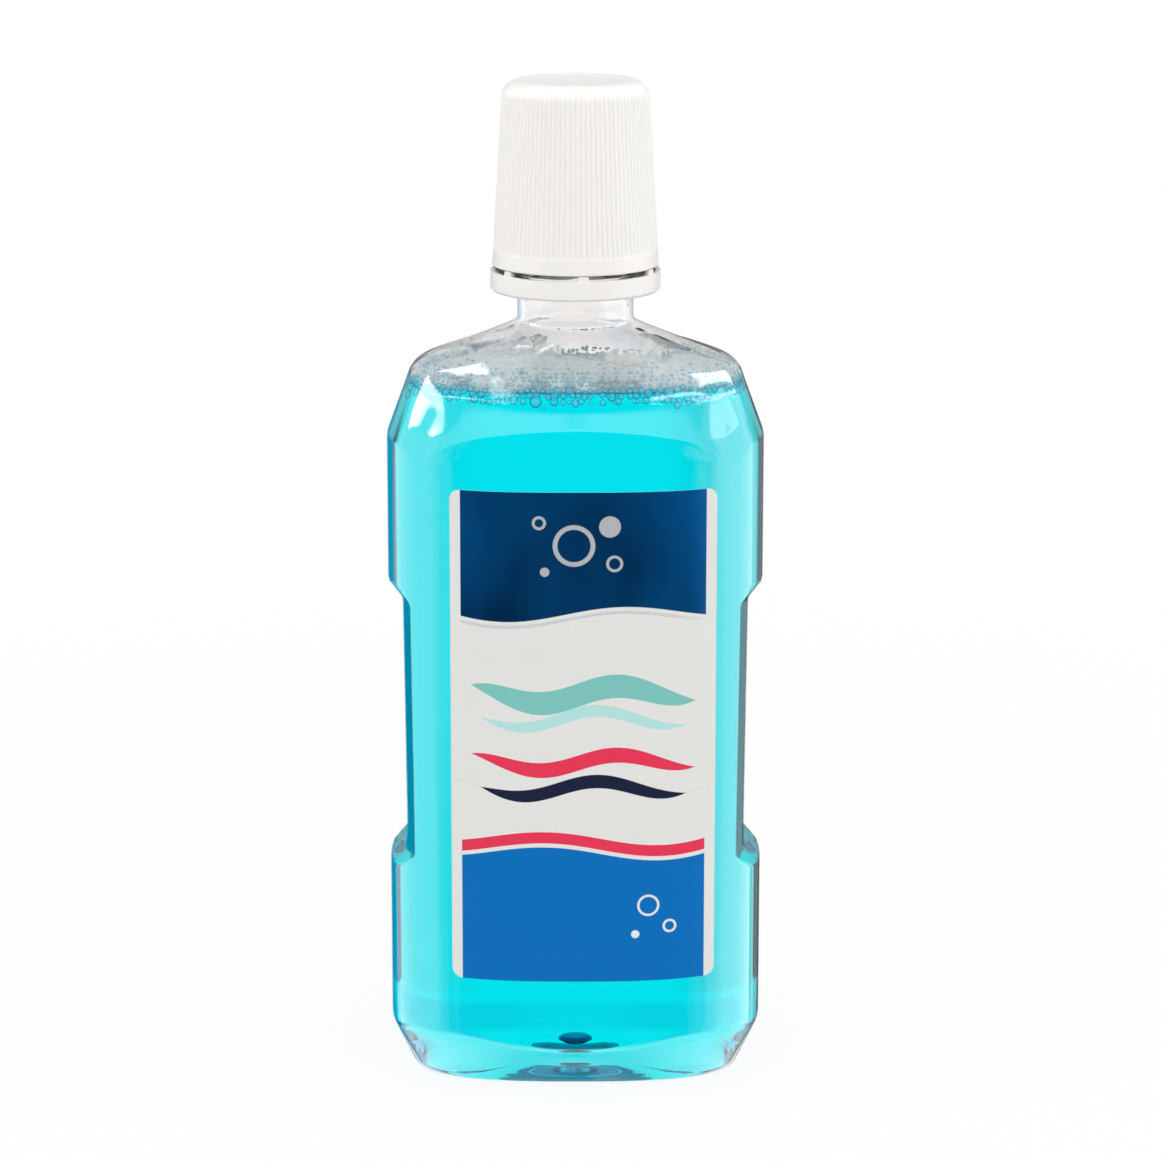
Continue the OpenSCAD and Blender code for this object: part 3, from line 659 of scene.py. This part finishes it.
angles = even_angles(COLUMNS)
sharp, soft = (rounded(body_path(), PATH_STEP, spread) for spread in (CORNER_ROUND, CREASE_ROUND))
near_crease = np.exp(-((sharp[:, 4] - CREASE_Z) / 3) ** 2)[:, None] * (sharp[:, :1] > FOOT_W / 2 + 2)
path = thinned(sharp + (soft - sharp) * near_crease, ROW_LENGTH, ROW_TURN, BEAD_Z - 1)
outer = skin(path, angles)
heights = path[:, 4]
on_wall = np.arange(len(path)) > np.argmax(path[:, 0] > BODY_W / 2 - 0.5)

# Wall thickness of each row: heavier in the base and towards the neck
thickness = np.where(on_wall, BODY_WALL, BASE_WALL - (BASE_WALL - BODY_WALL) * ease(heights / CREASE_Z))
thickness = thickness + (NECK_R - BORE_R - BODY_WALL) * ease((heights - NECK_Z + 7) / 12) * on_wall
normals = outward(outer)
inner = outer - normals * thickness[:, None, None]

radial = np.stack([np.cos(angles), np.sin(angles), 0 * angles], 1)[None]
finish = heights[:, None]
bead = np.clip(np.minimum((finish - BEAD_Z + 0.3) / 0.3, (BEAD_Z + BEAD_H - finish) / 0.8), 0, 1)
thread = thread_height(angles[None], finish) * (THREAD_R - NECK_R)
proud = np.maximum(ease(bead) * (BEAD_R - NECK_R), thread)
dressed = outer + radial * proud[:, :, None]


def ring_at(radius, z):
    return np.stack([radius * np.cos(angles), radius * np.sin(angles), 0 * angles + z], 1)


LIP = [
    [NECK_R, LIP_H], [NECK_R - 0.11, 0.14], [NECK_R - 0.37, 0], [BORE_R + 0.38, 0], [BORE_R + 0.11, 0.14],
    [BORE_R, LIP_H],
]
lip = np.stack([ring_at(r, MOUTH_Z - drop) for r, drop in LIP])
under = inner[::-1]
keep = (under[:, :, 2].max(1) < MOUTH_Z - 0.5) & (under[:, :, 2].min(1) > FILL_Z - 0.4)
shell_rings = np.concatenate([dressed[heights < MOUTH_Z - 0.5], lip, under[keep]])
shell_points = np.concatenate([shell_rings.reshape(-1, 3), [[0, 0, HOLLOW[0][2]]]])
shell_faces = ring_faces(len(shell_rings), COLUMNS) + fan(0, COLUMNS, len(shell_points) - 1, False)
# The heavy heel is glossier than one thin wall
coats = [pet_film("pet_film", PET_IOR), pet_wall(), pet_film("pet_heel", 1.9)]
shell = mesh_piece("bottle_shell", shell_points, shell_faces, *coats)
for face in shell.data.polygons:
    high, low = face.center[2] > (FILL_Z + 1.0) * MM, face.center[2] < (CREASE_Z - 0.4) * MM
    face.material_index = 1 if high else 2 if low and face.normal.z > -0.8 else 0
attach(shell, "bottle")
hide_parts("bottle")

# Liquid, drawn up the wall a little at its surface
on_heel = path[:, 0] > FOOT_W / 2
heel = ease((CREASE_Z - 2 - heights) / 8) * ease(heights / 1.2) * on_heel
heel_depth = HEEL_DEPTH + (BACK_HEEL - HEEL_DEPTH) * ease(2 * np.sin(angles) - 0.7)
wet_depth = TINT_DEPTH + (heel_depth[None] - TINT_DEPTH) * heel[:, None]
wet = outer - normals * wet_depth[:, :, None]
from_gate = np.hypot(wet[:, :, 0], wet[:, :, 1] / 0.55)
mound_z = HOLLOW[4][2] + MOUND_H
in_middle = ease((8.5 - from_gate) / 4) * (heights < HOLLOW[4][2] + 0.1)[:, None] * ~on_wall[:, None]
wet[:, :, 2] = np.maximum(wet[:, :, 2], wet[:, :, 2] + (HOLLOW[4][2] - wet[:, :, 2]) * in_middle)
wet[:, :, 2] += MOUND_H * ease((MOUND_R - from_gate) / MOUND_FADE) * ~on_heel[:, None]
wall_rows = np.flatnonzero(on_wall & (heights > CREASE_Z + 2) & (heights < NECK_Z + 2))


def wall_at(z, room):
    """Ring of points at height z on the wall's inner skin, moved in by room, and the normals into the bottle."""
    level = (inner - normals * room)[wall_rows]
    ring, into = np.zeros((COLUMNS, 3)), np.zeros((COLUMNS, 3))
    for k in range(COLUMNS):
        wanted = z[k] if np.ndim(z) else z
        for axis in range(3):
            ring[k, axis] = np.interp(wanted, level[:, k, 2], level[:, k, axis])
            into[k, axis] = -np.interp(wanted, level[:, k, 2], normals[wall_rows][:, k, axis])
    ring[:, 2] = z
    return ring, into


CLIMB, CLIMB_REACH = 0.8, 1.1
TINT_ROOM = TINT_DEPTH - BODY_WALL
sides = wet[wet[:, :, 2].max(1) < FILL_Z - 0.3]
contact, _ = wall_at(FILL_Z + CLIMB, TINT_ROOM)
surface = []
flat_in = contact[:, :2] / np.array([np.abs(contact[:, 0]).max(), np.abs(contact[:, 1]).max()])
flat_in = flat_in / np.linalg.norm(flat_in, axis=1, keepdims=True)
for depth in (0.0, 0.2, 0.5, 0.9, 1.5, 2.4, 4.0, 7.0, 11.0, 15.0, 18.5):
    ring = contact.copy()
    ring[:, :2] -= flat_in * depth
    ring[:, 2] = FILL_Z + CLIMB * math.exp(-depth / CLIMB_REACH)
    surface.append(ring)
fill_rings = np.concatenate([sides, np.stack(surface)])
fill_points, fill_faces = closed_rings(fill_rings, [0, 0, wet[0, 0, 2] - 0.5], [0, 0, FILL_Z])


def ball(level):
    """Points and triangles of a ball of radius 1."""
    made = bmesh.new()
    bmesh.ops.create_icosphere(made, subdivisions=level, radius=1)
    points = np.array([v.co[:] for v in made.verts])
    faces = np.array([[v.index for v in f.verts] for f in made.faces])
    made.free()
    return points, faces


def balls(centres, radii, level):
    """Points and faces of many balls."""
    points, faces = ball(level)
    spots = np.asarray(centres)[:, None] + points[None] * np.asarray(radii)[:, None, None]
    numbers = faces[None] + (np.arange(len(radii)) * len(points))[:, None, None]
    return spots.reshape(-1, 3), numbers.reshape(-1, 3).tolist()


def leaning(into, slope):
    """Unit vectors like those given, with their rise taken down to a share of itself."""
    flat = into * np.array([1, 1, slope])
    return flat / np.linalg.norm(flat)


def beads_along(z, radius, spread, room, share):
    """Centres and radii of bubbles that touch the wall in a row at about height z."""
    ring, into = wall_at(z, room)
    length = np.append(0, np.cumsum(np.linalg.norm(np.roll(ring, -1, 0) - ring, axis=1)))
    centres, radii, place = [], [], rng.uniform(0, 1)
    while place < length[-1] - radius:
        size = radius * math.exp(rng.normal(0, spread))
        k = min(int(np.searchsorted(length, place)) - 1, COLUMNS - 1)
        if rng.uniform() < share:
            spot = ring[k] + leaning(into[k], 0.4) * size
            spot[2] += rng.normal(0, spread * radius)
            centres.append(spot)
            radii.append(size)
        place += size * rng.uniform(1.9, 2.25)
    return np.array(centres), np.array(radii)


liquid = mesh_piece("liquid", fill_points, fill_faces, liquid_material())
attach(liquid, "bottle")
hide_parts("mouthwash")

# Gate mark in the middle of the base, inside: an opaque knob in painted dark-blue shade
gate_z = mound_z + 0.15
gate_rows = [
    [GATE_R + 0.2, 0], [GATE_R, GATE_H - 0.5], [GATE_R - 0.3, GATE_H - 0.12], [GATE_R - 0.9, GATE_H],
]
gate_rings = np.stack([ring_at(r, gate_z + rise) for r, rise in gate_rows])
gate_points, gate_faces = closed_rings(gate_rings, [0, 0, gate_z], [0, 0, gate_z + GATE_H - 0.3])
painted_dark_gate = mesh_piece("painted_dark_gate", gate_points, gate_faces, painted_dark_gate_material())
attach(painted_dark_gate, "bottle")

# ---------------------------------------------------------------- foam

# Height of the foam's edge on the front wall and on the back wall, by the cosine of the column's angle
FRONT_FOAM = [
    [-1, 156.2], [-0.93, 158.2], [-0.84, 160.6], [-0.7, 164.0], [-0.5, 164.6], [-0.3, 163.4], [-0.1, 161.8],
    [0.1, 160.4], [0.35, 159.2], [0.6, 159.5], [0.8, 160.9], [0.92, 159.6], [1, 156.6],
]
BACK_FOAM = [
    [-1, 156.2], [-0.85, 158.0], [-0.6, 158.4], [-0.35, 157.6], [-0.1, 156.8], [0.15, 157.2],
    [0.45, 157.0], [0.7, 157.6], [0.88, 157.0], [1, 156.6],
]
cosine = np.cos(angles)
front = np.sin(angles) < 0
edge = np.where(front, smooth_table(cosine, FRONT_FOAM), smooth_table(cosine, BACK_FOAM))
edge = edge + 0.35 * np.sin(23 * angles) * np.sin(11 * angles + 1)
# The film's rows, its foot, its greatest and least thickness, and the height where its larger cells begin
FOAM_LEVELS, FILM_FOOT_Z, FILM_THICK, FILM_THIN, CELLS_Z = 16, FILL_Z + 0.9, 0.75, 0.06, 160.5
film_out, film_in = [], []
for share in np.linspace(0, 1, FOAM_LEVELS):
    level = FILM_FOOT_Z + (edge - FILM_FOOT_Z) * share
    thick = FILM_THICK * (1 - share ** 3) + FILM_THIN
    ring, into = wall_at(level, 0.08 + 0.5 * (1 - ease(share / 0.7)))
    film_out.append(ring)
    film_in.append(ring + into * thick)
film_points = np.stack(film_out + film_in[::-1]).reshape(-1, 3)
film_faces = np.mod(ring_faces(2 * FOAM_LEVELS + 1, COLUMNS), len(film_points)).tolist()
fine_foam = haze_material("foam_haze", (0.64, 0.73, 0.77), (0.82, 0.87, 0.89), 0.35, CELLS_Z)
film = mesh_piece("foam_film", film_points, film_faces, fine_foam)

# Foam on the surface of the liquid: rings from the wall to the middle, over its low skin and its uneven top
BED_RINGS, BED_GAP, BED_H = 26, 0.06, 1.5
bed_low, bed_high = [], []
base_ring, _ = wall_at(FILL_Z + 1.0, 0.25)
for share in np.linspace(1, 0.04, BED_RINGS):
    flat = base_ring.copy()
    flat[:, :2] *= share
    x, y = flat[:, 0], flat[:, 1]
    rise = BED_H + 0.8 * np.sin(x * 0.33 + 1.3) * np.cos(y * 0.42) + 0.5 * np.sin(x * 0.9 + y * 0.7)
    rise = (rise + 1.1 * ease((share - 0.75) / 0.25)) * (1 - 0.9 * ease((np.abs(x) - 27) / 7))
    low = flat.copy()
    low[:, 2] = FILL_Z + BED_GAP + CLIMB * np.exp(-(1 - share) * 22 / CLIMB_REACH)
    top = FILL_Z + 0.5 + np.maximum(rise, 0.3)
    limit = np.linalg.norm(wall_at(top, 0.3)[0][:, :2], axis=1) / np.linalg.norm(base_ring[:, :2], axis=1)
    high = base_ring * np.minimum(share, limit)[:, None]
    high[:, 2] = top
    bed_low.append(low)
    bed_high.append(high)
bed_rings = np.stack(bed_low[::-1] + bed_high)
bed_points, bed_faces = closed_rings(bed_rings, [0, 0, FILL_Z + BED_GAP], [0, 0, FILL_Z + 2.0])
pale_foam = haze_material("foam_bed", (0.86, 0.90, 0.91), (0.95, 0.96, 0.96), 0.5, MOUTH_Z)
bed = mesh_piece("foam_bed", bed_points, bed_faces, pale_foam)


def bead_rows(rows, spread, room):
    """Centres and radii of rows on the wall, each row given by its rise over the fill, bubble radius and share."""
    found = [beads_along(FILL_Z + rise, radius, spread, room, share) for rise, radius, share in rows]
    return (np.concatenate(part) for part in zip(*found))


# Bubbles at the liquid's line, in rows on the wall
LINE_ROWS = [(-1.7, 0.75, 0.07), (-0.7, 0.72, 0.8), (0.35, 0.66, 0.96), (1.3, 0.6, 0.96)]
# The line bubbles' dark blue rims are painted shade, and their light cyan middles painted light
line_coat = bubble_material("line_bubble", (0.0, 0.09, 0.28), (0.10, 0.70, 0.86), 0.45, 0.3)
line_piece = mesh_piece("foam_line_bubbles", *balls(*bead_rows(LINE_ROWS, 0.24, TINT_ROOM + 0.1), 3), line_coat)

# Foam bubbles above it, in rows that shrink upwards
FOAM_ROWS = [
    (2.2, 0.56, 0.96), (3.0, 0.5, 0.95), (3.7, 0.46, 0.9), (4.4, 0.42, 0.75), (5.2, 0.4, 0.5), (6.0, 0.38, 0.3),
]
# The foam bubbles' pale rims are a painted reflection of the films' edges
bead_coat = bubble_material("foam_bubble", (0.80, 0.88, 0.92), (0.34, 0.62, 0.72), 0.7, 0.3)
bead_piece = mesh_piece("foam_bubbles", *balls(*bead_rows(FOAM_ROWS, 0.28, 0.02), 2), bead_coat)

# Loose bubbles on the bed
TRIES, LOOSE_COUNT, LOOSE_MARGIN = 900, 420, 4
spots = rng.uniform(-1, 1, (TRIES, 2))
spots = spots[(np.abs(spots) ** 2.6).sum(1) < 0.86][:LOOSE_COUNT]
loose_radii = np.exp(rng.normal(-0.25, 0.4, len(spots)))
loose_centres = np.zeros((len(spots), 3))
loose_centres[:, :2] = spots * (np.abs(base_ring).max(0)[:2] - LOOSE_MARGIN)
loose_centres[:, 2] = FILL_Z + 1.9 + 0.5 * loose_radii

# Large clear bubbles above the foam: a row on the back wall, and single ones on the front wall by their place
# across, height and radius
FRONT_BUBBLES = [
    (6.5, 160.9, 1.1), (8.4, 161.3, 2.0), (11.4, 161.2, 1.8), (14.1, 161.3, 1.6), (18.5, 161.4, 1.9),
    (21.7, 162.4, 1.3), (-3.3, 162.6, 1.0), (-6.2, 163.2, 0.9), (14.3, 157.2, 1.9),
]
big_centres, big_radii = [], []


def add_big(spot, into, size, slope):
    big_centres.append(spot + leaning(into, slope) * size)
    big_radii.append(size)


back_ring, back_in = wall_at(np.where(front, FILL_Z + 3, edge - 0.6), 0.1)
for k in range(0, COLUMNS, 5):
    if np.sin(angles[k]) > 0.15:
        add_big(back_ring[k], back_in[k], rng.uniform(1.0, 2.1), 0.3)
for x, z, size in FRONT_BUBBLES:
    k = int(np.argmin(np.where(front, np.abs(half_width(z) * cosine - x), 1e9)))
    ring, into = wall_at(z, 0.1)
    add_big(ring[k], into[k], size, 0.5)
big_points, big_faces = balls(big_centres, big_radii, 3)
loose_points, loose_faces = balls(loose_centres, loose_radii, 2)
big_faces += (np.array(loose_faces) + len(big_points)).tolist()
# The large bubbles' grey rims are painted shade outlines, with near white middles
big_coat = bubble_material("large_bubble", (0.60, 0.60, 0.60), (0.97, 0.96, 0.95), 0.3, 0.6)
big_piece = mesh_piece("foam_large_bubbles", np.concatenate([big_points, loose_points]), big_faces, big_coat)
for piece in (film, bed, line_piece, bead_piece, big_piece):
    piece.visible_shadow = piece in (film, bed)
    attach(piece, "bottle")
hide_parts("foam")

# ---------------------------------------------------------------- labels


def label_sheet(name, side, size, foot, shift, print_material, back_material):
    """Film on the front (side 1) or on the back (side -1), with rounded corners."""
    rows, columns = 61, 97
    width, height = size
    corner = LABEL_CORNER
    near = corner * (1 - np.cos(np.linspace(0, math.pi / 2, 9)))
    v = np.concatenate([near, np.linspace(corner, height - corner, rows)[1:-1], height - near[::-1]])
    in_corner = np.maximum(0, np.maximum(corner - v, v - (height - corner)))
    half = width / 2 - corner + np.sqrt(np.maximum(0, corner ** 2 - in_corner ** 2))
    x = half[:, None] * np.linspace(-1, 1, columns)[None] + shift
    y = -BODY_D / 2 * (1 - np.abs(x / (BODY_W / 2)) ** BODY_SQUARE) ** (1 / BODY_SQUARE)
    z = foot + v[:, None] + 0 * x
    sheets = [np.stack([x, y - SKIN_GAP - t, z], 2) for t in (LABEL_T, 0)]
    points = np.concatenate([s.reshape(-1, 3) for s in sheets]) * np.array([side, side, 1])
    grid = np.arange(len(v) * columns).reshape(len(v), columns)
    outside = np.stack([grid[:-1, :-1], grid[:-1, 1:], grid[1:, 1:], grid[1:, :-1]], 2).reshape(-1, 4)
    faces = outside.tolist() + (outside[:, ::-1] + grid.size).tolist()
    rim = np.concatenate([grid[0], grid[1:, -1], grid[-1, -2::-1], grid[-2:0:-1, 0]])
    after = np.roll(rim, -1)
    faces += np.stack([after, rim, rim + grid.size, after + grid.size], 1).tolist()
    made = mesh_piece(name, points, faces, print_material, back_material)
    for face in made.data.polygons:
        face.material_index = 0 if face.index < len(outside) else 1
    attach(made, "bottle")
    return made


front_sheet = label_sheet(
    "front_label_sheet", 1, (LABEL_W, LABEL_H), LABEL_Z, LABEL_SHIFT, front_print(), film_back()
)
back_sheet = label_sheet("back_label_sheet", -1, (BACK_W, BACK_H), BACK_Z, 0, back_print(), clear_film())
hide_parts("front_label")
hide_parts("back_label")

# ---------------------------------------------------------------- closure

CAP_TONE, CAP_ROUGH = (0.86, 0.835, 0.81), 0.42


def cap_at(z):
    return CAP_RIM_R - (CAP_RIM_R - CAP_TOP_R) * (z - RIM_Z) / (CAP_TOP_Z - CAP_EDGE - RIM_Z)


def ribbed_cap():
    """Ribbed shell with a rounded edge and a dimple, from rows of radius, height and share of the ribs."""
    columns = RIB_COUNT * 8
    around = np.arange(columns) * TURN / columns
    rib_low, rib_top = RIM_Z + RIM_H, CAP_TOP_Z - CAP_EDGE
    rim = [[-CAP_WALL, 0.25], [0.2 - CAP_WALL, 0], [-0.3, 0], [-0.08, 0.09], [0, 0.32]]
    profile = [[CAP_RIM_R + out, RIM_Z + rise, 0] for out, rise in rim]
    profile += [[cap_at(z), z, 0] for z in np.linspace(RIM_Z + 0.8, rib_low - 0.15, 5)]
    profile += [[cap_at(z), z, s] for z, s in [(rib_low, 0.1), (rib_low + 0.2, 0.6), (rib_low + 0.45, 1)]]
    profile += [[cap_at(z), z, 1] for z in np.linspace(rib_low + 1, rib_top - 0.6, 16)]
    for angle in np.radians(np.linspace(0, 90, 19)):
        fade = 1 - ease(math.degrees(angle) / 34)
        r = CAP_TOP_R - CAP_EDGE * (1 - math.cos(angle))
        profile.append([r, rib_top + CAP_EDGE * math.sin(angle), fade])
    top = [[11.4, 0], [10.6, 0], [10.3, 0.12], [6, 0.12], [2.2, 0.12], [1.2, 0.12], [1.0, 0.3], [0.3, DIMPLE]]
    profile += [[r, CAP_TOP_Z - drop, 0] for r, drop in top]
    roof_z = CAP_TOP_Z - CAP_ROOF
    inside = [[0.3, roof_z, 0], [12.5, roof_z, 0], [CAP_TOP_R - CAP_WALL, rib_top, 0]]
    inside += [[cap_at(z) - CAP_WALL, z, 0] for z in np.linspace(rib_top, RIM_Z + 0.4, 14)[1:]]
    r, z, s = np.array(profile).T
    valley = (0.5 + 0.5 * np.cos(around * RIB_COUNT)) ** 2.2
    outside = r[:, None] - RIB_RISE * s[:, None] * valley[None]
    ri, zi, _ = np.array(inside).T
    radius = np.concatenate([outside, ri[:, None] + 0 * valley[None]])
    height = np.concatenate([z, zi])[:, None] + 0 * radius
    rings = np.stack([radius * np.cos(around), radius * np.sin(around), height], 2)
    # The rings run out over the top and back inside, so that the last joins the first, and both middles are closed
    points, last = rings.reshape(-1, 3), (len(profile) - 1) * columns
    faces = [face for face in ring_faces(len(rings) + 1, columns) if face[0] // columns != len(profile) - 1]
    faces = np.mod(faces, len(points)).tolist()
    faces += fan(last, columns, len(points), True) + fan(last + columns, columns, len(points) + 1, False)
    points = np.concatenate([points, [[0, 0, CAP_TOP_Z - DIMPLE], [0, 0, roof_z]]])
    return mesh_piece("cap_shell", points, faces, cap_material("cap_plastic", CAP_TONE, CAP_ROUGH))


cap = ribbed_cap()
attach(cap, "cap")
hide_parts("outer_cap")

for node, tone, rough in [
    ("tamper_band", CAP_TONE, CAP_ROUGH), ("dosing_cup", (0.84, 0.84, 0.83), 0.3),
    ("seal_ring", (0.80, 0.81, 0.82), 0.55),
]:
    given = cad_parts[node]
    given.data.materials.clear()
    given.data.materials.append(cap_material(node + "_plastic", tone, rough))

# ---------------------------------------------------------------- studio

FLOOR_HALF, FLOOR_DROP = 9, 0.0002
corners = [(-FLOOR_HALF, -FLOOR_HALF, 0), (FLOOR_HALF, -FLOOR_HALF, 0)]
corners += [(FLOOR_HALF, FLOOR_HALF, 0), (-FLOOR_HALF, FLOOR_HALF, 0)]
floor_data = bpy.data.meshes.new("floor")
floor_data.from_pydata(corners, [], [(0, 1, 2, 3)])
floor_data.materials.append(floor_material())
floor = added("floor", floor_data)
floor.location.z = -FLOOR_DROP


def direction(turn, rise):
    """Unit vector by its turn from the front and its rise, in degrees, with the right side above 0."""
    turn, rise = math.radians(turn), math.radians(rise)
    return Vector((math.sin(turn) * math.cos(rise), -math.cos(turn) * math.cos(rise), math.sin(rise)))


# White cards of the set: brightness, and the corners' directions
CARDS = [
    (13.0, [(-120, 38), (-98, 13), (-73, 25)]),
    (10.0, [(-129, 46), (-135, 62), (-78, 72), (-92, 67)]),
    (5.5, [(-72, 72), (-45, 75), (-23, 55), (-35, 48)]),
    (9.0, [(98, 65), (137, 31), (118, 20), (70, 40)]),
    (4.5, [(76, 20), (77, 25), (92, 27), (92, 18)]),
    (11.0, [(31, 48), (74, 28), (74, 31), (31, 52)]),
]
CARD_EDGE, CARD_GAIN, BAR_LIGHT, BAR_FILL = 0.04, 2.2, 1.4, 1.75


def card(t, aim, corners):
    """1 where the card with these corners stands in the set."""
    ends = [direction(*corner) for corner in corners]
    middle = sum(ends, Vector())
    share = 1.0
    for a, b in zip(ends, ends[1:] + ends[:1]):
        side = a.cross(b).normalized()
        side = side if side.dot(middle) > 0 else -side
        inside = t.node("VectorMath", {0: aim, 1: side}, operation="DOT_PRODUCT").outputs["Value"]
        share = t.times(share, t.scaled(inside, 1 / CARD_EDGE, 0.5, clamp=True))
    return share


def set_world():
    """The set: white with dark wings through glass, dark with white cards in reflections, white to the camera."""
    world = bpy.data.worlds.new("studio")
    bpy.context.scene.world = world
    t = Tree(world)
    aim = t.node("TexCoord").outputs["Generated"]
    way = t.node("SeparateXYZ", {0: aim}).outputs
    forward = t.times(way[1], -1)
    degree = 180 / math.pi

    def angle_of(a, b):
        return t.times(t.math("ARCTAN2", a, b), degree)

    def even(value):
        return value, value, value

    def ramp(share, stops):
        """Colour by the angle in degrees from straight behind the set, with the right side above 0."""
        made = t.node("ValToRGB", {0: share})
        elements = made.color_ramp.elements
        while len(elements) < len(stops):
            elements.new(0.5)
        for element, (angle, tone) in zip(elements, stops):
            element.position = (angle + 180) / 360
            element.color = (*tone, 1)
        return made.outputs[0]

    turn = t.scaled(t.math("ARCTAN2", way[0], way[1]), 1 / TURN, 0.5)
    rise = t.times(t.math("ARCSINE", way[2]), degree)
    from_front = t.math("ABSOLUTE", angle_of(way[0], forward))
    pitch = angle_of(way[2], forward)

    # What is seen through the bottle
    white, side, duller, grey, dim = (even(v) for v in (0.95, 0.84, 0.76, 0.7, 0.55))
    dark, blue = (0.015, 0.06, 0.085), (0.40, 0.43, 0.6)
    open_set, skyline = (1.0, 0.975, 0.955, 1), (0.78, 0.80, 0.86, 1)
    through = ramp(turn, [
        (-180, dim), (-100, dim), (-85, grey), (-66, grey), (-61, dark), (-48, dark), (-45.5, duller),
        (-16, duller), (-6, white), (6, white), (16, side), (40.5, side), (41.5, dark), (46, dark),
        (47, blue), (64, blue), (80, grey), (100, dim), (180, dim),
    ])
    horizon = t.times(t.cover(rise, -4.5, 6, 3.0), t.cover(from_front, 140, 181, 8.0))
    through = t.mix(t.cover(rise, -24, -6, 4.0), t.mix(horizon, open_set, skyline), through)

    # What the bottle mirrors: the sides by their turn, another set of them higher up, and a glow below
    low, black, left_card, right_card, navy = even(0.1), even(0.003), even(0.5), even(0.8), (0.0, 0.09, 0.165)
    left_end = [(-180, black), (-138, black), (-112, left_card)]
    right_end = [(108, right_card), (140, black), (180, black)]
    blotch = t.value("TexNoise", {"Vector": aim, "Scale": 6.0, "Detail": 1.0})
    wavy = t.scaled(blotch, 0.09, t.minus(turn, 0.045))
    mirrored = ramp(wavy, left_end + [
        (-50, left_card), (-40, navy), (-3, navy), (4, black), (14, black), (20, low), (42, low), (60, right_card),
    ] + right_end)
    higher = ramp(wavy, left_end + [(-70, left_card), (-50, low), (50, low), (70, right_card)] + right_end)
    mirrored = t.mix(t.cover(rise, -5, 22, 5.0), mirrored, higher)
    mirrored = t.mix(t.cover(rise, -91, -36, 12.0), mirrored, t.carried(rise, -90.0, -60.0, 0.02, 0.48))

    # The bright bar in front and the cards
    bar = t.times(t.cover(pitch, 18, 48, 3.0), t.cover(from_front, -1, 74, 8.0))
    mirrored = t.mix(bar, mirrored, (*even(BAR_LIGHT), 1))
    fill = t.mix(bar, (*even(0.6), 1), (*even(BAR_FILL), 1))
    outside = t.minus(1, bar)
    for light, corners in CARDS:
        share = card(t, aim, corners)
        mirrored = t.mix(share, mirrored, (*even(light), 1))
        outside = t.times(outside, t.minus(1, share))

    tone = t.mix(t.ray("Glossy"), fill, mirrored)
    tone = t.mix(t.ray("Transmission"), tone, through)
    tone = t.mix(t.ray("Camera"), tone, (1, 1, 1, 1))
    reflected = t.times(t.ray("Glossy"), t.minus(1, t.ray("Transmission")))
    brighter = t.times(reflected, t.times(t.cover(rise, -91, 24, 8.0), outside))
    strength = t.scaled(brighter, CARD_GAIN, 1)
    t.node("OutputWorld", {0: t.value("Background", {"Color": tone, "Strength": strength})})


set_world()

LAMP_AWAY, LAMP_AIM = 0.9, 0.14


def softbox(name, first, last, width, radiance):
    """Lamp that lights the shoulder from between two directions. It isn't seen in reflections."""
    target = Vector((0, 0, LAMP_AIM))
    ends = [target + LAMP_AWAY * direction(*first), target + LAMP_AWAY * direction(*last)]
    middle, along = (ends[0] + ends[1]) / 2, ends[1] - ends[0]
    data = bpy.data.lights.new(name, "AREA")
    data.shape = "RECTANGLE"
    data.size, data.size_y = width, along.length
    data.energy = radiance * math.pi * width * along.length
    back = (middle - target).normalized()
    along.normalize()
    lamp = added(name, data)
    lamp.location = middle
    lamp.rotation_euler = Matrix((along.cross(back), along, back)).transposed().to_euler()
    lamp.visible_camera = lamp.visible_transmission = lamp.visible_glossy = False


softbox("fill_left", (-80, 14), (-80, 46), 0.4, 1.4)
softbox("fill_right", (80, 14), (80, 46), 0.4, 1.7)
softbox("fill_top", (0, 64), (180, 84), 0.5, 2.6)

# The photograph's camera: its size, focal length and shift in pixels, and its place and aim in metres
PHOTO_PX, FOCAL_PX, SHIFT_X_PX, SHIFT_Y_PX = 1161, 4238, 5.1, -5.5
SENSOR, CAMERA_AWAY, CAMERA_Z, CAMERA_DROP = 36.0, 0.9, 0.319, 0.209
camera_data = bpy.data.cameras.new("camera")
camera_data.sensor_width = SENSOR
camera_data.lens = SENSOR * FOCAL_PX / PHOTO_PX
camera_data.shift_x, camera_data.shift_y = SHIFT_X_PX / PHOTO_PX, SHIFT_Y_PX / PHOTO_PX
camera = added("camera", camera_data)
camera.location = (0, -CAMERA_AWAY, CAMERA_Z)
camera.rotation_euler = (math.pi / 2 - math.atan2(CAMERA_DROP, CAMERA_AWAY), 0, 0)
bpy.context.scene.camera = camera
bpy.context.scene.view_settings.view_transform = "Standard"
